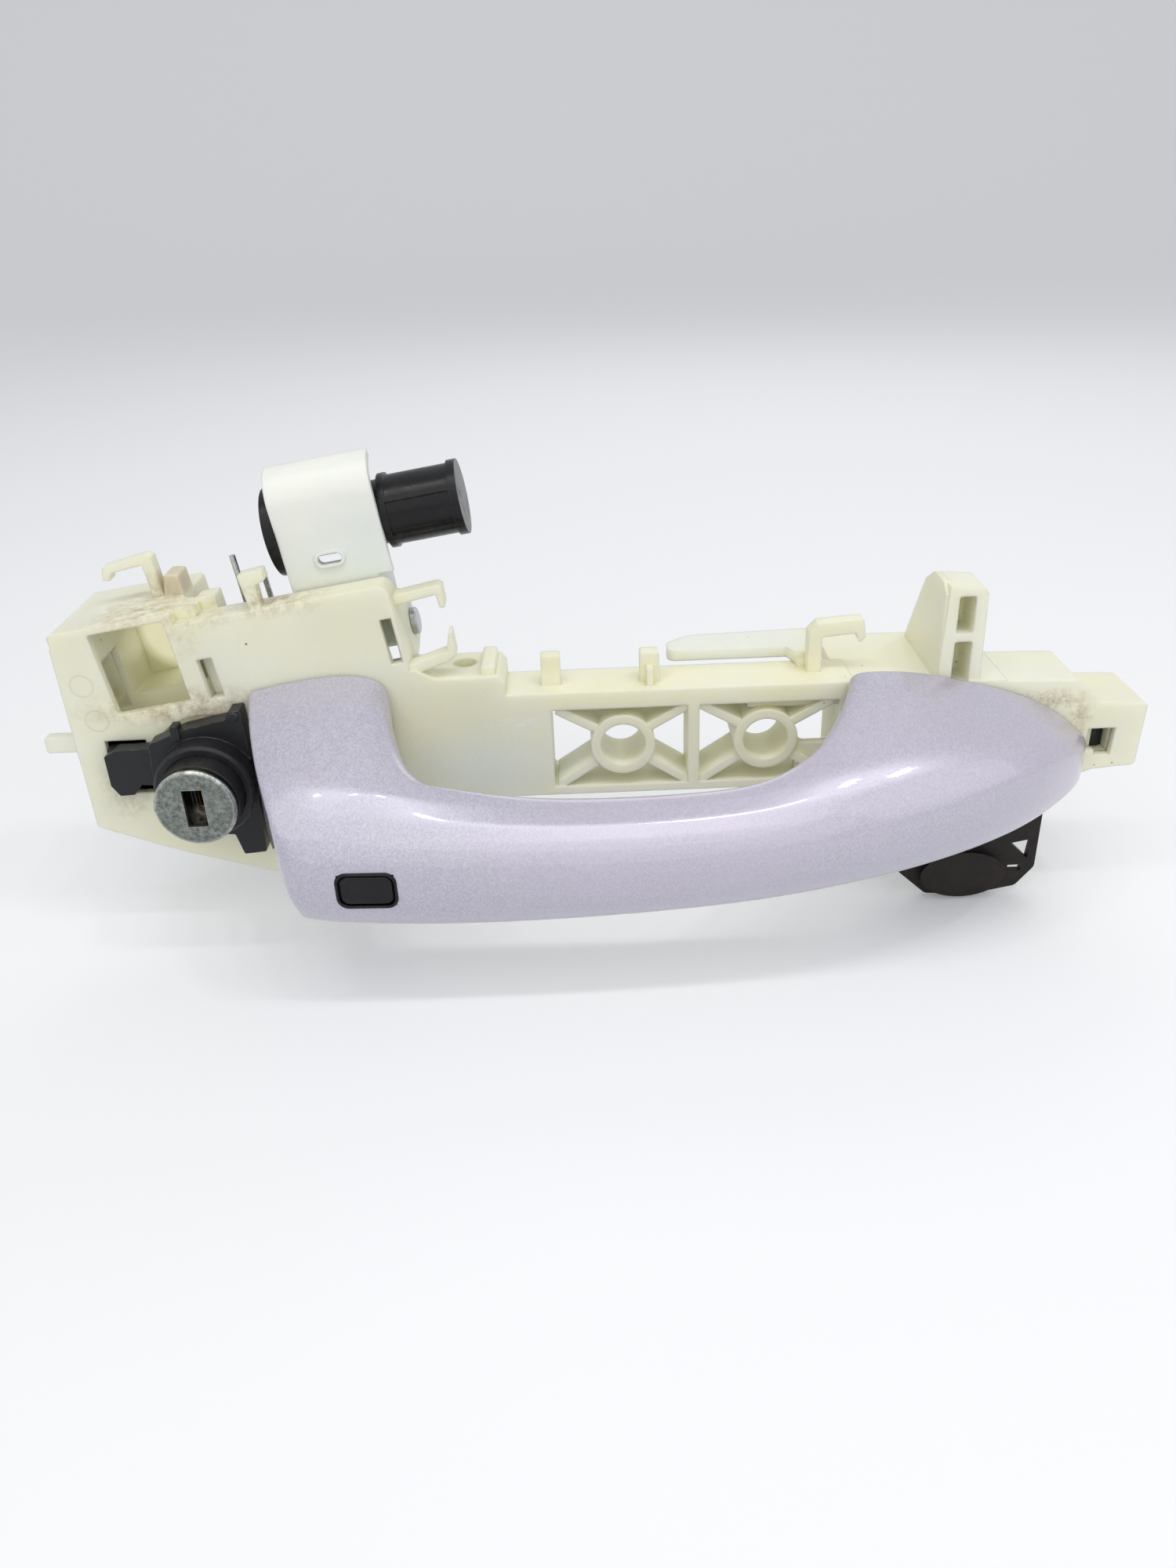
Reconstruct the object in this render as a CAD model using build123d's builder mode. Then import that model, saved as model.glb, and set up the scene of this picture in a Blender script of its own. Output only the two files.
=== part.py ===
from build123d import *
import os
from math import cos, radians, sin

# Outside door handle of a car: a moulded frame that bolts behind the door skin, a painted
# pull grip hinged at its front end, a bell crank with a counterweight, and a key lock.
# X runs along the handle (rear, lock end is -X), Z is up, -Y points out of the door.
# The origin is midway between the two ring bosses, on the frame's front face.

# ---------------------------------------------------------------- driving dimensions (mm)
SKIN = 2.5                    # frame front wall
WALL = 2.2                    # frame side walls and ribs
RUN = 0.05                    # radial running clearance of shafts in bores
GAP = 0.4                     # working gap between pieces on different bodies

BOSS_PITCH = 40.0             # spacing of the two ring bosses
BOSS_BORE_R = 6.3
BOSS_OUTER_R = 9.0
LATTICE_DEPTH = 17.0
LATTICE_LEFT = -39.7
LATTICE_RIGHT = 40.3
LATTICE_TOP = 11.3
LATTICE_BOTTOM = -12.6
RIM_TOP = 16.4
RIM_BOTTOM = -15.0
ARM_WEB = 2.4                 # thickness of the diagonal arms of the lattice
ARM_DEPTH = 14.0

TILT = 8.5                    # mechanism end is turned this far about Y
BLOCK_DEPTH = 35.0            # depth of the rear block with the pocket
BOX_DEPTH = 9.0               # depth of the top flange over the mechanism
LOCK_DEPTH = 12.0
LEDGE_DEPTH = 19.0
LEDGE_TOP = 22.0
SHELF_DEPTH = 38.0            # depth of the front shelf
NOSE_DEPTH = 22.0             # depth of the nose box at the hinge

SCREW_X = -63.4               # blind screw hole in the ledge
SCREW_Y = 11.7
SCREW_HOLE_R = 3.3
SCREW_HOLE_DEPTH = 14.0

HINGE_X = 116.0               # grip hinge, parallel to Z
HINGE_Y = 9.0
TRUNNION_R = 3.0
TRUNNION_TOP = 4.0
TRUNNION_BOTTOM = -10.2

PIVOT_Y = 21.5                # bell crank pivot, along the tilted X axis
PIVOT_Z = 42.5
PIN_R = 2.5
HUB_R = 6.0
LUG_LEFT = -128.0
LUG_RIGHT = -72.8
LUG_T = 4.5                   # thickness of the left lug
HUB_LEFT = -110.0
HUB_RIGHT = -76.0
LEVER_R = 26.0                # pivot to pull bar
LEVER_ANGLE = 22.5            # pull bar stands this far behind straight down at rest
BAR_R = 2.0
CHEEK = 2.2                   # wall of the crank's plates

HOLDER_LEFT = -100.0
HOLDER_RIGHT = -72.0
HOLDER_FACE_Y = 9.8
WEIGHT_Y = 21.2
WEIGHT_Z = 74.6
WEIGHT_R = 8.6
WEIGHT_END_R = 10.0
WEIGHT_FLANGE_R = 12.0
WEIGHT_RIGHT = -50.5
CORE_R = 5.0

LOCK_X = -135.0               # lock axis, parallel to Y
LOCK_Z = -3.3
PLUG_FACE_Y = -21.5
PLUG_FACE_R = 11.0
PLUG_FACE_THICK = 3.0
SLEEVE_R = 11.2
NECK_R = 13.7
NECK_Y = -12.5
HOUSING_Y = -6.0
PLUG_R = 7.0
KEYWAY_W = 5.5
KEYWAY_H = 11.0
KEYWAY_DEPTH = 7.0
KEY_DEPTH = 28.0              # how far the key reaches in
WAFER_COUNT = 6
WAFER_PITCH = 2.4
WAFER_T = 0.9
WAFER_HALF = 6.0              # half height of a wafer

GRIP_BACK = -1.0              # back plane of the grip's feet
STRAP_BACK = -30.0            # back of the grip between the feet
GRIP_REAR = -121.5
GRIP_SHELL = 2.4              # wall of the painted shell
SEAM = 0.5                    # gap between the painted shell and the inner half
BUTTON_X = -87.0
BUTTON_Z = -14.8
BUTTON_W = 13.6
BUTTON_H = 8.2
BUTTON_FACE_Y = -47.5
BEZEL_W = 0.8                 # width of the lip round the button
BEZEL_GAP = 0.3
BUTTON_TRAVEL = 0.8

os.makedirs("parts", exist_ok=True)

# ---------------------------------------------------------------- planes and small helpers
EX = (cos(radians(TILT)), 0, sin(radians(TILT)))
BAR_Y = PIVOT_Y + LEVER_R * sin(radians(LEVER_ANGLE))
BAR_Z = PIVOT_Z - LEVER_R * cos(radians(LEVER_ANGLE))


def front(y):
    """Plane facing out of the door at depth y: x to the front, z up."""
    return Plane(origin=(0, y, 0), x_dir=(1, 0, 0), z_dir=(0, -1, 0))


def tilted(y):
    """The same plane turned with the mechanism end."""
    return Plane(origin=(0, y, 0), x_dir=EX, z_dir=(0, -1, 0))


def side(x):
    """Plane across the mechanism at tilted station x: local x is depth, local y is up."""
    origin = (EX[0] * x, 0, EX[2] * x)
    return Plane(origin=origin, x_dir=(0, 1, 0), z_dir=EX)


def slab(plane, points, depth, mode=Mode.ADD, radius=0.0):
    """Extrude an outline backwards from a plane, its corners rounded by radius."""
    with BuildSketch(plane) as outline:
        with BuildLine():
            Polyline(*points, close=True)
        make_face()
        if radius:
            fillet(outline.vertices(), radius)
    extrude(outline.sketch, amount=-depth, mode=mode)


def disc(plane, centre, radius, depth, mode=Mode.ADD):
    """Extrude a circle backwards from a plane."""
    with BuildSketch(plane) as outline:
        with Locations(centre):
            Circle(radius)
    extrude(outline.sketch, amount=-depth, mode=mode)


def block(plane, low, high, depth, mode=Mode.ADD, radius=0.0):
    """Extrude the rectangle between two corners backwards from a plane."""
    points = [(low[0], low[1]), (high[0], low[1]), (high[0], high[1]), (low[0], high[1])]
    slab(plane, points, depth, mode, radius)


def tray(plane, points, depth, radius=0.0):
    """A shallow box, open behind: a front skin with walls round its outline."""
    slab(plane, points, depth, Mode.ADD, radius)
    with BuildSketch(plane.offset(-SKIN)) as pocket:
        with BuildLine():
            Polyline(*points, close=True)
        make_face()
        if radius:
            fillet(pocket.vertices(), radius)
        offset(amount=-WALL, mode=Mode.REPLACE)
    extrude(pocket.sketch, amount=-depth, mode=Mode.SUBTRACT)


def save(piece, name):
    piece.label = name
    export_step(piece, f"parts/{name}.step")


# ---------------------------------------------------------------- frame
POCKET_LOW = (-154.4, 38.4)
POCKET_HIGH = (-133.4, 62.0)
POCKET_DEPTH = 31.0
BOX_TOP = 60.5
BOX_BOTTOM = 36.0
BLOCK_TOP = 63.9
BLOCK_LEFT = -165.0
BLOCK_RIGHT = -131.0
BOX_RIGHT = -72.8
ARM_SLOT_LOW = (-101.0, -12.5)
ARM_SLOT_HIGH = (-85.0, 14.0)
GASKET_TOP = 4.0
GASKET_T = 2.4
HOUSING_SCREW = (-127.0, -22.6)
HOUSING_SCREW_R = 1.2

with BuildPart() as frame:
    # rear block with its deep pocket, and the box in front of the bell crank
    block(tilted(0), (BLOCK_LEFT, 33.0), (BLOCK_RIGHT, BLOCK_TOP), BLOCK_DEPTH, radius=1.2)
    block(tilted(SKIN), (BLOCK_LEFT + WALL, 35.2), (POCKET_LOW[0] - WALL, BLOCK_TOP - WALL),
          BLOCK_DEPTH, Mode.SUBTRACT)
    # lower body round the lock, from the block to the lattice
    tray(front(0), [(-172.6, 36.5), (-172.0, -19.6), (-150.0, -28.5), (-124.0, -36.8),
                    (-106.0, -35.0), (-82.0, -26.0), (-55.3, -17.4), (-51.0, -15.0),
                    (-50.0, 10.0), (-76.0, 25.0), (-120.0, 17.5)], LOCK_DEPTH, radius=1.5)
    tray(tilted(0), [(BLOCK_RIGHT - WALL, BOX_BOTTOM - 3.0), (BOX_RIGHT, BOX_BOTTOM - 3.0),
                     (BOX_RIGHT, BOX_TOP), (BLOCK_RIGHT - WALL, BOX_TOP)], BOX_DEPTH, radius=2.8)
    # stepped ledge between the box and the lattice
    slab(front(0), [(-80.0, 12.0), (-52.0, 12.0), (-52.0, RIM_TOP + 3.2), (-53.6, LEDGE_TOP),
                    (-78.6, LEDGE_TOP)], LEDGE_DEPTH, radius=1.0)
    block(front(SKIN), (-76.0, 6.0), (-54.5, LEDGE_TOP - WALL), LEDGE_DEPTH, Mode.SUBTRACT)
    # lattice bay
    block(front(0), (-54.0, RIM_BOTTOM), (LATTICE_RIGHT + 4.0, RIM_TOP), LATTICE_DEPTH, radius=1.0)
    block(front(SKIN), (-51.8, RIM_BOTTOM + WALL), (LATTICE_LEFT - WALL, RIM_TOP - WALL),
          LATTICE_DEPTH, Mode.SUBTRACT)
    block(front(0), (LATTICE_LEFT, LATTICE_BOTTOM), (LATTICE_RIGHT, LATTICE_TOP),
          LATTICE_DEPTH, Mode.SUBTRACT, radius=0.6)
    # front shelf, nose and nose box
    tray(front(0), [(LATTICE_RIGHT, RIM_BOTTOM), (100.0, RIM_BOTTOM), (108.0, -15.8),
                    (114.0, -13.6), (125.8, -12.6), (126.3, 6.4), (113.0, 7.0),
                    (106.0, 14.1), (LATTICE_RIGHT, RIM_TOP - 0.4)], NOSE_DEPTH, radius=1.0)
    shelf_back = [(LATTICE_RIGHT, 12.8), (86.0, 12.8), (86.0, 15.1), (LATTICE_RIGHT, RIM_TOP - 0.4)]
    slab(front(0), shelf_back, SHELF_DEPTH)
    # the shelf narrows towards the nose
    with BuildSketch(Plane.XY.offset(-20)) as shelf_cut:
        with BuildLine():
            Polyline((68.0, SHELF_DEPTH + 1), (68.0, SHELF_DEPTH), (85.0, NOSE_DEPTH),
                     (130.0, NOSE_DEPTH), (130.0, SHELF_DEPTH + 1), close=True)
        make_face()
    extrude(shelf_cut.sketch, amount=60, mode=Mode.SUBTRACT)

    # ring bosses with their diagonal arms and the post between the two cells
    for boss_x in (-BOSS_PITCH / 2, BOSS_PITCH / 2):
        for up in (-1, 1):
            for out in (-1, 1):
                corner = (boss_x + out * 18.6, LATTICE_TOP if up > 0 else LATTICE_BOTTOM)
                near = ARM_WEB * 0.6
                slab(front(0.6), [(boss_x + out * 4, up * 3 - near), (corner[0], corner[1] - near),
                                  (corner[0], corner[1] + near), (boss_x + out * 4, up * 3 + near)],
                     ARM_DEPTH)
        disc(front(0), (boss_x, 0), BOSS_OUTER_R, LATTICE_DEPTH)
    block(front(0), (-1.8, LATTICE_BOTTOM - 1), (1.4, LATTICE_TOP + 1), ARM_DEPTH)
    block(front(3.0), (15.0, 8.6), (LATTICE_RIGHT + 1, LATTICE_TOP + 1), SKIN)
    block(front(3.0), (29.0, LATTICE_BOTTOM - 1), (LATTICE_RIGHT + 1, -3.0), SKIN)
    for boss_x in (-BOSS_PITCH / 2, BOSS_PITCH / 2):
        disc(front(-1), (boss_x, 0), BOSS_BORE_R, LATTICE_DEPTH + 2, Mode.SUBTRACT)

    # room for the crank and its pull bar behind the skin
    block(tilted(SKIN), (HOLDER_LEFT - 6.0, 15.0), (HUB_RIGHT - 3.0, BOX_TOP - WALL),
          LEDGE_DEPTH + 1, Mode.SUBTRACT)
    # lugs that carry the pivot pin, left and right of the crank
    for low, high in ((LUG_LEFT, LUG_LEFT + LUG_T), (LUG_RIGHT - WALL, LUG_RIGHT)):
        with BuildSketch(side(low)) as lug:
            with BuildLine():
                Polyline((0.5, 34.0), (0.5, 57.5), (9.0, 57.5), (27.0, 49.0), (28.0, 36.0),
                         (20.0, 34.0), close=True)
            make_face()
        extrude(lug.sketch, amount=high - low)
    with BuildSketch(side(LUG_LEFT - 1)) as pin_hole:
        with Locations((PIVOT_Y, PIVOT_Z)):
            Circle(PIN_R + 0.02)
    extrude(pin_hole.sketch, amount=LUG_RIGHT - LUG_LEFT + 2, mode=Mode.SUBTRACT)

    # deep pocket of the rear block, core-out slots, lock pocket and lug window
    block(tilted(-1), POCKET_LOW, POCKET_HIGH, POCKET_DEPTH + 1, Mode.SUBTRACT, radius=0.8)
    block(tilted(-1), (-128.2, 38.2), (-124.0, 49.8), 5.0, Mode.SUBTRACT)
    block(tilted(-1), (-77.2, 38.7), (-73.9, 51.5), 5.0, Mode.SUBTRACT)
    disc(front(-1), (LOCK_X, LOCK_Z), 17.5, 2.4, Mode.SUBTRACT)
    disc(front(0), (LOCK_X, LOCK_Z), 16.0, LOCK_DEPTH)
    disc(front(-1), (LOCK_X, LOCK_Z), SLEEVE_R + 0.3, LOCK_DEPTH + 2, Mode.SUBTRACT)
    block(front(-1), (-164.0, -9.0), (-152.5, 7.5), 1 + SKIN + 1, Mode.SUBTRACT)

    # openings for the grip's rear arm and front arm, and the hinge window
    block(front(-1), ARM_SLOT_LOW, ARM_SLOT_HIGH, LEDGE_DEPTH + 2, Mode.SUBTRACT, radius=1.0)
    block(front(-1), (92.0, -11.0), (101.6, 4.4), SKIN + 2, Mode.SUBTRACT, radius=1.0)
    slab(front(-1), [(110.4, -7.6), (113.4, -7.6), (113.4, -9.2), (118.2, -9.2), (118.6, -0.8),
                     (110.8, -0.8)], SKIN + 2, Mode.SUBTRACT)
    # seat of the gasket in the front face
    block(front(-1), (54.0, -20.0), (91.0, GASKET_TOP), 1 + GASKET_T + 0.4, Mode.SUBTRACT)
    block(front(GASKET_T + 0.4), (53.0, RIM_BOTTOM), (91.0, GASKET_TOP + 1), SKIN)

    # hinge socket of the grip inside the nose box
    with BuildSketch(Plane.XY.offset(RIM_BOTTOM + 2.5)) as socket:
        with Locations((HINGE_X + 1.0, HINGE_Y)):
            Rectangle(10.0, 11.0)
    extrude(socket.sketch, amount=-RIM_BOTTOM + 3.6)
    with BuildSketch(Plane.XY.offset(TRUNNION_BOTTOM - 0.4)) as socket_bore:
        with Locations((HINGE_X, HINGE_Y)):
            Circle(TRUNNION_R + RUN)
        with Locations((HINGE_X - 5.0, HINGE_Y - 0.3)):
            Rectangle(10.0, 4.9)
    extrude(socket_bore.sketch, amount=TRUNNION_TOP - TRUNNION_BOTTOM + 0.8, mode=Mode.SUBTRACT)
    block(front(-1), (113.4, -9.2), (118.2, -0.8), 1 + HINGE_Y - 2.0, Mode.SUBTRACT)

    # gusset on the shelf: a web behind and a front face with two pockets
    with BuildSketch(Plane.YZ.offset(66.6)) as web:
        with BuildLine():
            Polyline((0.6, 13.0), (1.0, 40.0), (4.0, 42.6), (13.0, 42.6), (20.0, 38.5),
                     (37.0, 13.6), close=True)
        make_face()
        fillet(web.vertices().sort_by(Axis.Z)[-3:], 2.0)
    extrude(web.sketch, amount=WALL)
    slab(front(0.6), [(66.6, 13.0), (78.6, 13.0), (78.0, 40.0), (77.0, 41.6), (67.6, 42.4)], 13.0)
    block(front(-1), (70.4, 14.6), (75.2, 26.6), 12.0, Mode.SUBTRACT, radius=0.8)
    block(front(-1), (70.4, 28.9), (75.0, 39.4), 12.0, Mode.SUBTRACT, radius=0.8)

    # two tabs, the long flexible arm and the hook on the top rim
    for tab_x in (-39.4, -12.0):
        block(front(6.0), (tab_x - 2.7, RIM_TOP - 1), (tab_x + 2.7, RIM_TOP + 8.5), 4.5, radius=0.7)
    block(front(3.0), (-13.0, RIM_TOP - 1), (-11.0, RIM_TOP + 5.0), 4.0)
    with BuildSketch(Plane.XY.offset(RIM_TOP + 0.4)) as leaf:
        with BuildLine():
            Polyline((-6.0, 19.0), (-6.0, 25.5), (1.0, 31.0), (36.0, 33.0), (36.0, 14.0), (30.0, 14.0),
                     (28.0, 19.0), close=True)
        make_face()
        fillet(leaf.vertices().sort_by(Axis.X)[:3], 2.6)
    extrude(leaf.sketch, amount=3.2)
    block(front(12.0), (30.0, RIM_TOP - 1), (36.0, RIM_TOP + 2), 21.0)
    slab(front(8.0), [(32.2, RIM_TOP - 1), (36.0, RIM_TOP - 1), (36.0, 26.6), (45.2, 27.4), (46.4, 24.4),
                      (48.0, 26.2), (47.2, 31.4), (34.6, 30.6), (32.2, 28.0)], 4.5, radius=0.5)

    # hooks and clips round the mechanism
    slab(tilted(18.0), [(-140.6, BLOCK_TOP - 1), (-137.6, BLOCK_TOP - 1), (-137.4, 75.0), (-139.0, 76.0),
                        (-151.5, 74.6), (-152.6, 71.0), (-150.6, 70.6), (-149.6, 72.6), (-140.6, 73.2)],
         4.0, radius=0.4)
    slab(tilted(16.0), [(-137.0, BLOCK_TOP - 1), (-131.2, BLOCK_TOP - 1), (-131.2, 69.4), (-135.0, 70.0)],
         8.0, radius=0.6)
    slab(tilted(4.0), [(-131.5, BOX_TOP - 1), (-125.4, BOX_TOP - 1), (-125.4, BOX_TOP + 2.6),
                       (-131.5, BLOCK_TOP)], 9.0)
    block(tilted(9.0), (-126.5, BOX_TOP - 2.2), (-120.8, BOX_TOP + 3.4), 7.0, radius=0.6)
    slab(tilted(0.8), [(-109.8, BOX_TOP - 1), (-107.0, BOX_TOP - 1), (-106.6, 66.6), (-103.6, 67.6),
                       (-103.8, 70.4), (-110.4, 70.0)], 4.4, radius=0.4)
    slab(tilted(3.8), [(BOX_RIGHT - 1, 53.4), (-61.4, 54.4), (-61.2, 50.6), (-59.6, 50.6), (-59.4, 56.0),
                       (-60.6, 57.0), (BOX_RIGHT - 1, 56.2)], 5.0, radius=0.4)
    slab(tilted(0.6), [(BOX_RIGHT - 1, 37.0), (-61.8, 39.2), (-60.0, 44.6), (-59.2, 44.4), (-59.4, 37.8),
                       (-61.8, 36.4), (BOX_RIGHT - 1, 34.0)], 5.0, radius=0.3)
    # locating tongue at the rear edge
    block(front(4.0), (-182.5, 2.6), (-170.0, 7.4), 3.0, radius=0.8)
    # boss of the blind screw hole in the ledge
    with BuildSketch(Plane.XY.offset(LEDGE_TOP - SCREW_HOLE_DEPTH - 2)) as boss:
        with Locations((SCREW_X, SCREW_Y)):
            Circle(SCREW_HOLE_R + 2.2)
    extrude(boss.sketch, amount=SCREW_HOLE_DEPTH + 1)
    with BuildSketch(Plane.XY.offset(LEDGE_TOP - SCREW_HOLE_DEPTH)) as screw_hole:
        with Locations((SCREW_X, SCREW_Y)):
            Circle(SCREW_HOLE_R)
    extrude(screw_hole.sketch, amount=SCREW_HOLE_DEPTH + 1, mode=Mode.SUBTRACT)
    block(front(2.0), (-58.4, LEDGE_TOP - 1), (-54.4, LEDGE_TOP + 2.4), LEDGE_DEPTH - 4, radius=0.9)

    # hole for the screw of the lock housing
    disc(front(-1), HOUSING_SCREW, HOUSING_SCREW_R + 0.3, SKIN + 3, Mode.SUBTRACT)
    # stiffening ribs behind the lower body
    for rib_x in (-167.5, -112.0, -74.0, -62.0):
        block(front(1.0), (rib_x, -17.0), (rib_x + 1.6, 6.0), LOCK_DEPTH - 2.5)
    block(front(1.0), (-171.0, 9.5), (-150.0, 11.1), LOCK_DEPTH - 2.5)
    for rib_x in (52.0, 62.0, 74.0, 86.0):
        block(front(3.0), (rib_x, RIM_BOTTOM + 1), (rib_x + 1.6, RIM_TOP - 2.5), NOSE_DEPTH - 6)

save(frame.part, "frame")

# ---------------------------------------------------------------- bell crank and its pin
PIVOT = (PIVOT_Y, PIVOT_Z)
BAR = (BAR_Y, BAR_Z)
PIN_HEAD_T = 1.6
ROD_EYE = (PIVOT_Y + 17.0, PIVOT_Z - 7.0)
ROD_EYE_R = 2.6


def rod(start, end, radius, centre=PIVOT):
    """A round bar along the tilted axis between two stations."""
    with BuildSketch(side(start)) as outline:
        with Locations(centre):
            Circle(radius)
    extrude(outline.sketch, amount=end - start)


def plate(start, end, circles, holes=()):
    """A plate across the tilted axis that wraps the given circles."""
    with BuildSketch(side(start)) as outline:
        for centre, radius in circles:
            with Locations(centre):
                Circle(radius)
        make_hull()
        for centre, radius in holes:
            with Locations(centre):
                Circle(radius, mode=Mode.SUBTRACT)
    extrude(outline.sketch, amount=end - start)


with BuildPart() as pivot_pin:
    rod(LUG_LEFT - 2.2, LUG_RIGHT + 0.2, PIN_R)
    rod(LUG_RIGHT + 0.2, LUG_RIGHT + 0.2 + PIN_HEAD_T, PIN_R + 1.3)
    with BuildSketch(side(LUG_LEFT - 1.2)) as groove:
        with Locations(PIVOT):
            Circle(PIN_R + 1)
            Circle(PIN_R - 0.5, mode=Mode.SUBTRACT)
    extrude(groove.sketch, amount=0.9, mode=Mode.SUBTRACT)
    chamfer(pivot_pin.edges().filter_by(GeomType.CIRCLE).sort_by(Axis.X)[-1], 0.4)
save(pivot_pin.part, "pivot_pin")

with BuildPart() as pin_clip:
    with BuildSketch(side(LUG_LEFT - 1.1)) as clip_face:
        with Locations(PIVOT):
            Circle(PIN_R + 2.0)
            Circle(PIN_R - 0.5, mode=Mode.SUBTRACT)
        with Locations((PIVOT[0] + 3.0, PIVOT[1])):
            Rectangle(6.0, 3.2, mode=Mode.SUBTRACT)
    extrude(clip_face.sketch, amount=0.7)
save(pin_clip.part, "pin_clip")

with BuildPart() as bell_crank:
    rod(HUB_LEFT, HUB_RIGHT, HUB_R)
    # two plates down to the pull bar
    for start in (HOLDER_LEFT - 1.0, -85.7):
        plate(start, start + CHEEK, ((PIVOT, HUB_R), (BAR, BAR_R + 1.5)))
    rod(HOLDER_LEFT - 1.0, -85.7 + CHEEK, BAR_R, BAR)
    # two cheeks up to the counterweight
    for start in (HOLDER_LEFT, HUB_RIGHT - CHEEK):
        plate(start, start + CHEEK, ((PIVOT, HUB_R), ((WEIGHT_Y, WEIGHT_Z), WEIGHT_R + 2.4)))
    # curved face that wraps the front of the counterweight
    with BuildSketch(side(HOLDER_LEFT)) as face:
        with BuildLine():
            Polyline((19.0, 46.0), (16.4, 53.6), (HOLDER_FACE_Y + 1.0, 57.6), (HOLDER_FACE_Y, 60.4),
                     (HOLDER_FACE_Y, 82.0))
            ThreePointArc((HOLDER_FACE_Y, 82.0), (12.0, 89.0), (18.2, 92.4))
            Line((18.2, 92.4), (18.8, 90.2))
            ThreePointArc((18.8, 90.2), (13.8, 87.4), (HOLDER_FACE_Y + CHEEK, 82.0))
            Polyline((HOLDER_FACE_Y + CHEEK, 82.0), (HOLDER_FACE_Y + CHEEK, 61.0),
                     (HOLDER_FACE_Y + 3.0, 59.4), (18.0, 55.4), (22.0, 46.0), (19.0, 46.0))
        make_face()
    extrude(face.sketch, amount=HUB_RIGHT - HOLDER_LEFT)
    with BuildSketch(side(HUB_RIGHT)) as face_edge:
        with BuildLine():
            Line((HOLDER_FACE_Y, 61.0), (HOLDER_FACE_Y, 82.0))
            ThreePointArc((HOLDER_FACE_Y, 82.0), (12.0, 89.0), (18.2, 92.4))
            Line((18.2, 92.4), (18.8, 90.2))
            ThreePointArc((18.8, 90.2), (13.8, 87.4), (HOLDER_FACE_Y + CHEEK, 82.0))
            Polyline((HOLDER_FACE_Y + CHEEK, 82.0), (HOLDER_FACE_Y + CHEEK, 61.0), (HOLDER_FACE_Y, 61.0))
        make_face()
    extrude(face_edge.sketch, amount=HOLDER_RIGHT - HUB_RIGHT)
    # small raised window in the middle of the face
    with BuildSketch(tilted(HOLDER_FACE_Y - 0.6)) as rim:
        with Locations(((HOLDER_LEFT + HOLDER_RIGHT) / 2 - 1.6, 67.6)):
            SlotOverall(8.4, 4.6)
    extrude(rim.sketch, amount=-1.4)
    with BuildSketch(tilted(HOLDER_FACE_Y - 2.0)) as window:
        with Locations(((HOLDER_LEFT + HOLDER_RIGHT) / 2 - 1.6, 67.6)):
            SlotOverall(6.6, 2.8)
    extrude(window.sketch, amount=-4.6, mode=Mode.SUBTRACT)
    # ear for the latch rod
    plate(HUB_LEFT, HUB_LEFT + 3.0, ((PIVOT, HUB_R), (ROD_EYE, ROD_EYE_R + 2.2)))
    with BuildSketch(side(HUB_LEFT - 1)) as bores:
        with Locations(PIVOT):
            Circle(PIN_R + RUN)
    extrude(bores.sketch, amount=HUB_RIGHT - HUB_LEFT + 2, mode=Mode.SUBTRACT)
    with BuildSketch(side(HUB_LEFT - 1)) as eye:
        with Locations(ROD_EYE):
            Circle(ROD_EYE_R)
    extrude(eye.sketch, amount=5.0, mode=Mode.SUBTRACT)
    with BuildSketch(side(HOLDER_LEFT - 1)) as weight_bore:
        with Locations((WEIGHT_Y, WEIGHT_Z)):
            Circle(WEIGHT_R + 0.1)
    extrude(weight_bore.sketch, amount=HOLDER_RIGHT - HOLDER_LEFT + 2, mode=Mode.SUBTRACT)
save(bell_crank.part, "bell_crank")

with BuildPart() as weight_sleeve:
    centre = (WEIGHT_Y, WEIGHT_Z)
    rod(HOLDER_LEFT - 0.2, HOLDER_RIGHT + 0.2, WEIGHT_R, centre)
    rod(HOLDER_LEFT - 3.0, HOLDER_LEFT - 0.2, WEIGHT_FLANGE_R, centre)
    rod(HOLDER_RIGHT + 0.2, WEIGHT_RIGHT, WEIGHT_END_R - 0.7, centre)
    rod(WEIGHT_RIGHT - 2.4, WEIGHT_RIGHT, WEIGHT_END_R, centre)
    rod(HOLDER_RIGHT + 0.2, HOLDER_RIGHT + 2.0, WEIGHT_END_R, centre)
    for angle in (150, 215, 330):
        with BuildSketch(side(HOLDER_RIGHT + 0.2)) as rib:
            with Locations((WEIGHT_Y, WEIGHT_Z)):
                with PolarLocations(WEIGHT_END_R - 0.9, 1, start_angle=angle):
                    Rectangle(1.8, 1.6)
        extrude(rib.sketch, amount=WEIGHT_RIGHT - HOLDER_RIGHT - 0.2)
    with BuildSketch(side(HOLDER_LEFT - 4.0)) as core_bore:
        with Locations(centre):
            Circle(CORE_R)
    extrude(core_bore.sketch, amount=WEIGHT_RIGHT - HOLDER_LEFT + 2.0, mode=Mode.SUBTRACT)
save(weight_sleeve.part, "weight_sleeve")

with BuildPart() as weight_core:
    rod(HOLDER_LEFT - 3.0, WEIGHT_RIGHT - 2.2, CORE_R - 0.05, (WEIGHT_Y, WEIGHT_Z))
    chamfer(weight_core.edges().filter_by(GeomType.CIRCLE), 0.5)
save(weight_core.part, "weight_core")

with BuildPart() as rod_clip:
    rod(HUB_LEFT - 2.0, HUB_LEFT + 4.2, ROD_EYE_R - 0.05, ROD_EYE)
    rod(HUB_LEFT - 3.2, HUB_LEFT - 0.1, ROD_EYE_R + 1.6, ROD_EYE)
    with BuildSketch(side(HUB_LEFT - 4)) as rod_bore:
        with Locations(ROD_EYE):
            Circle(1.6)
    extrude(rod_bore.sketch, amount=9.0, mode=Mode.SUBTRACT)
save(rod_clip.part, "rod_clip")

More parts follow.
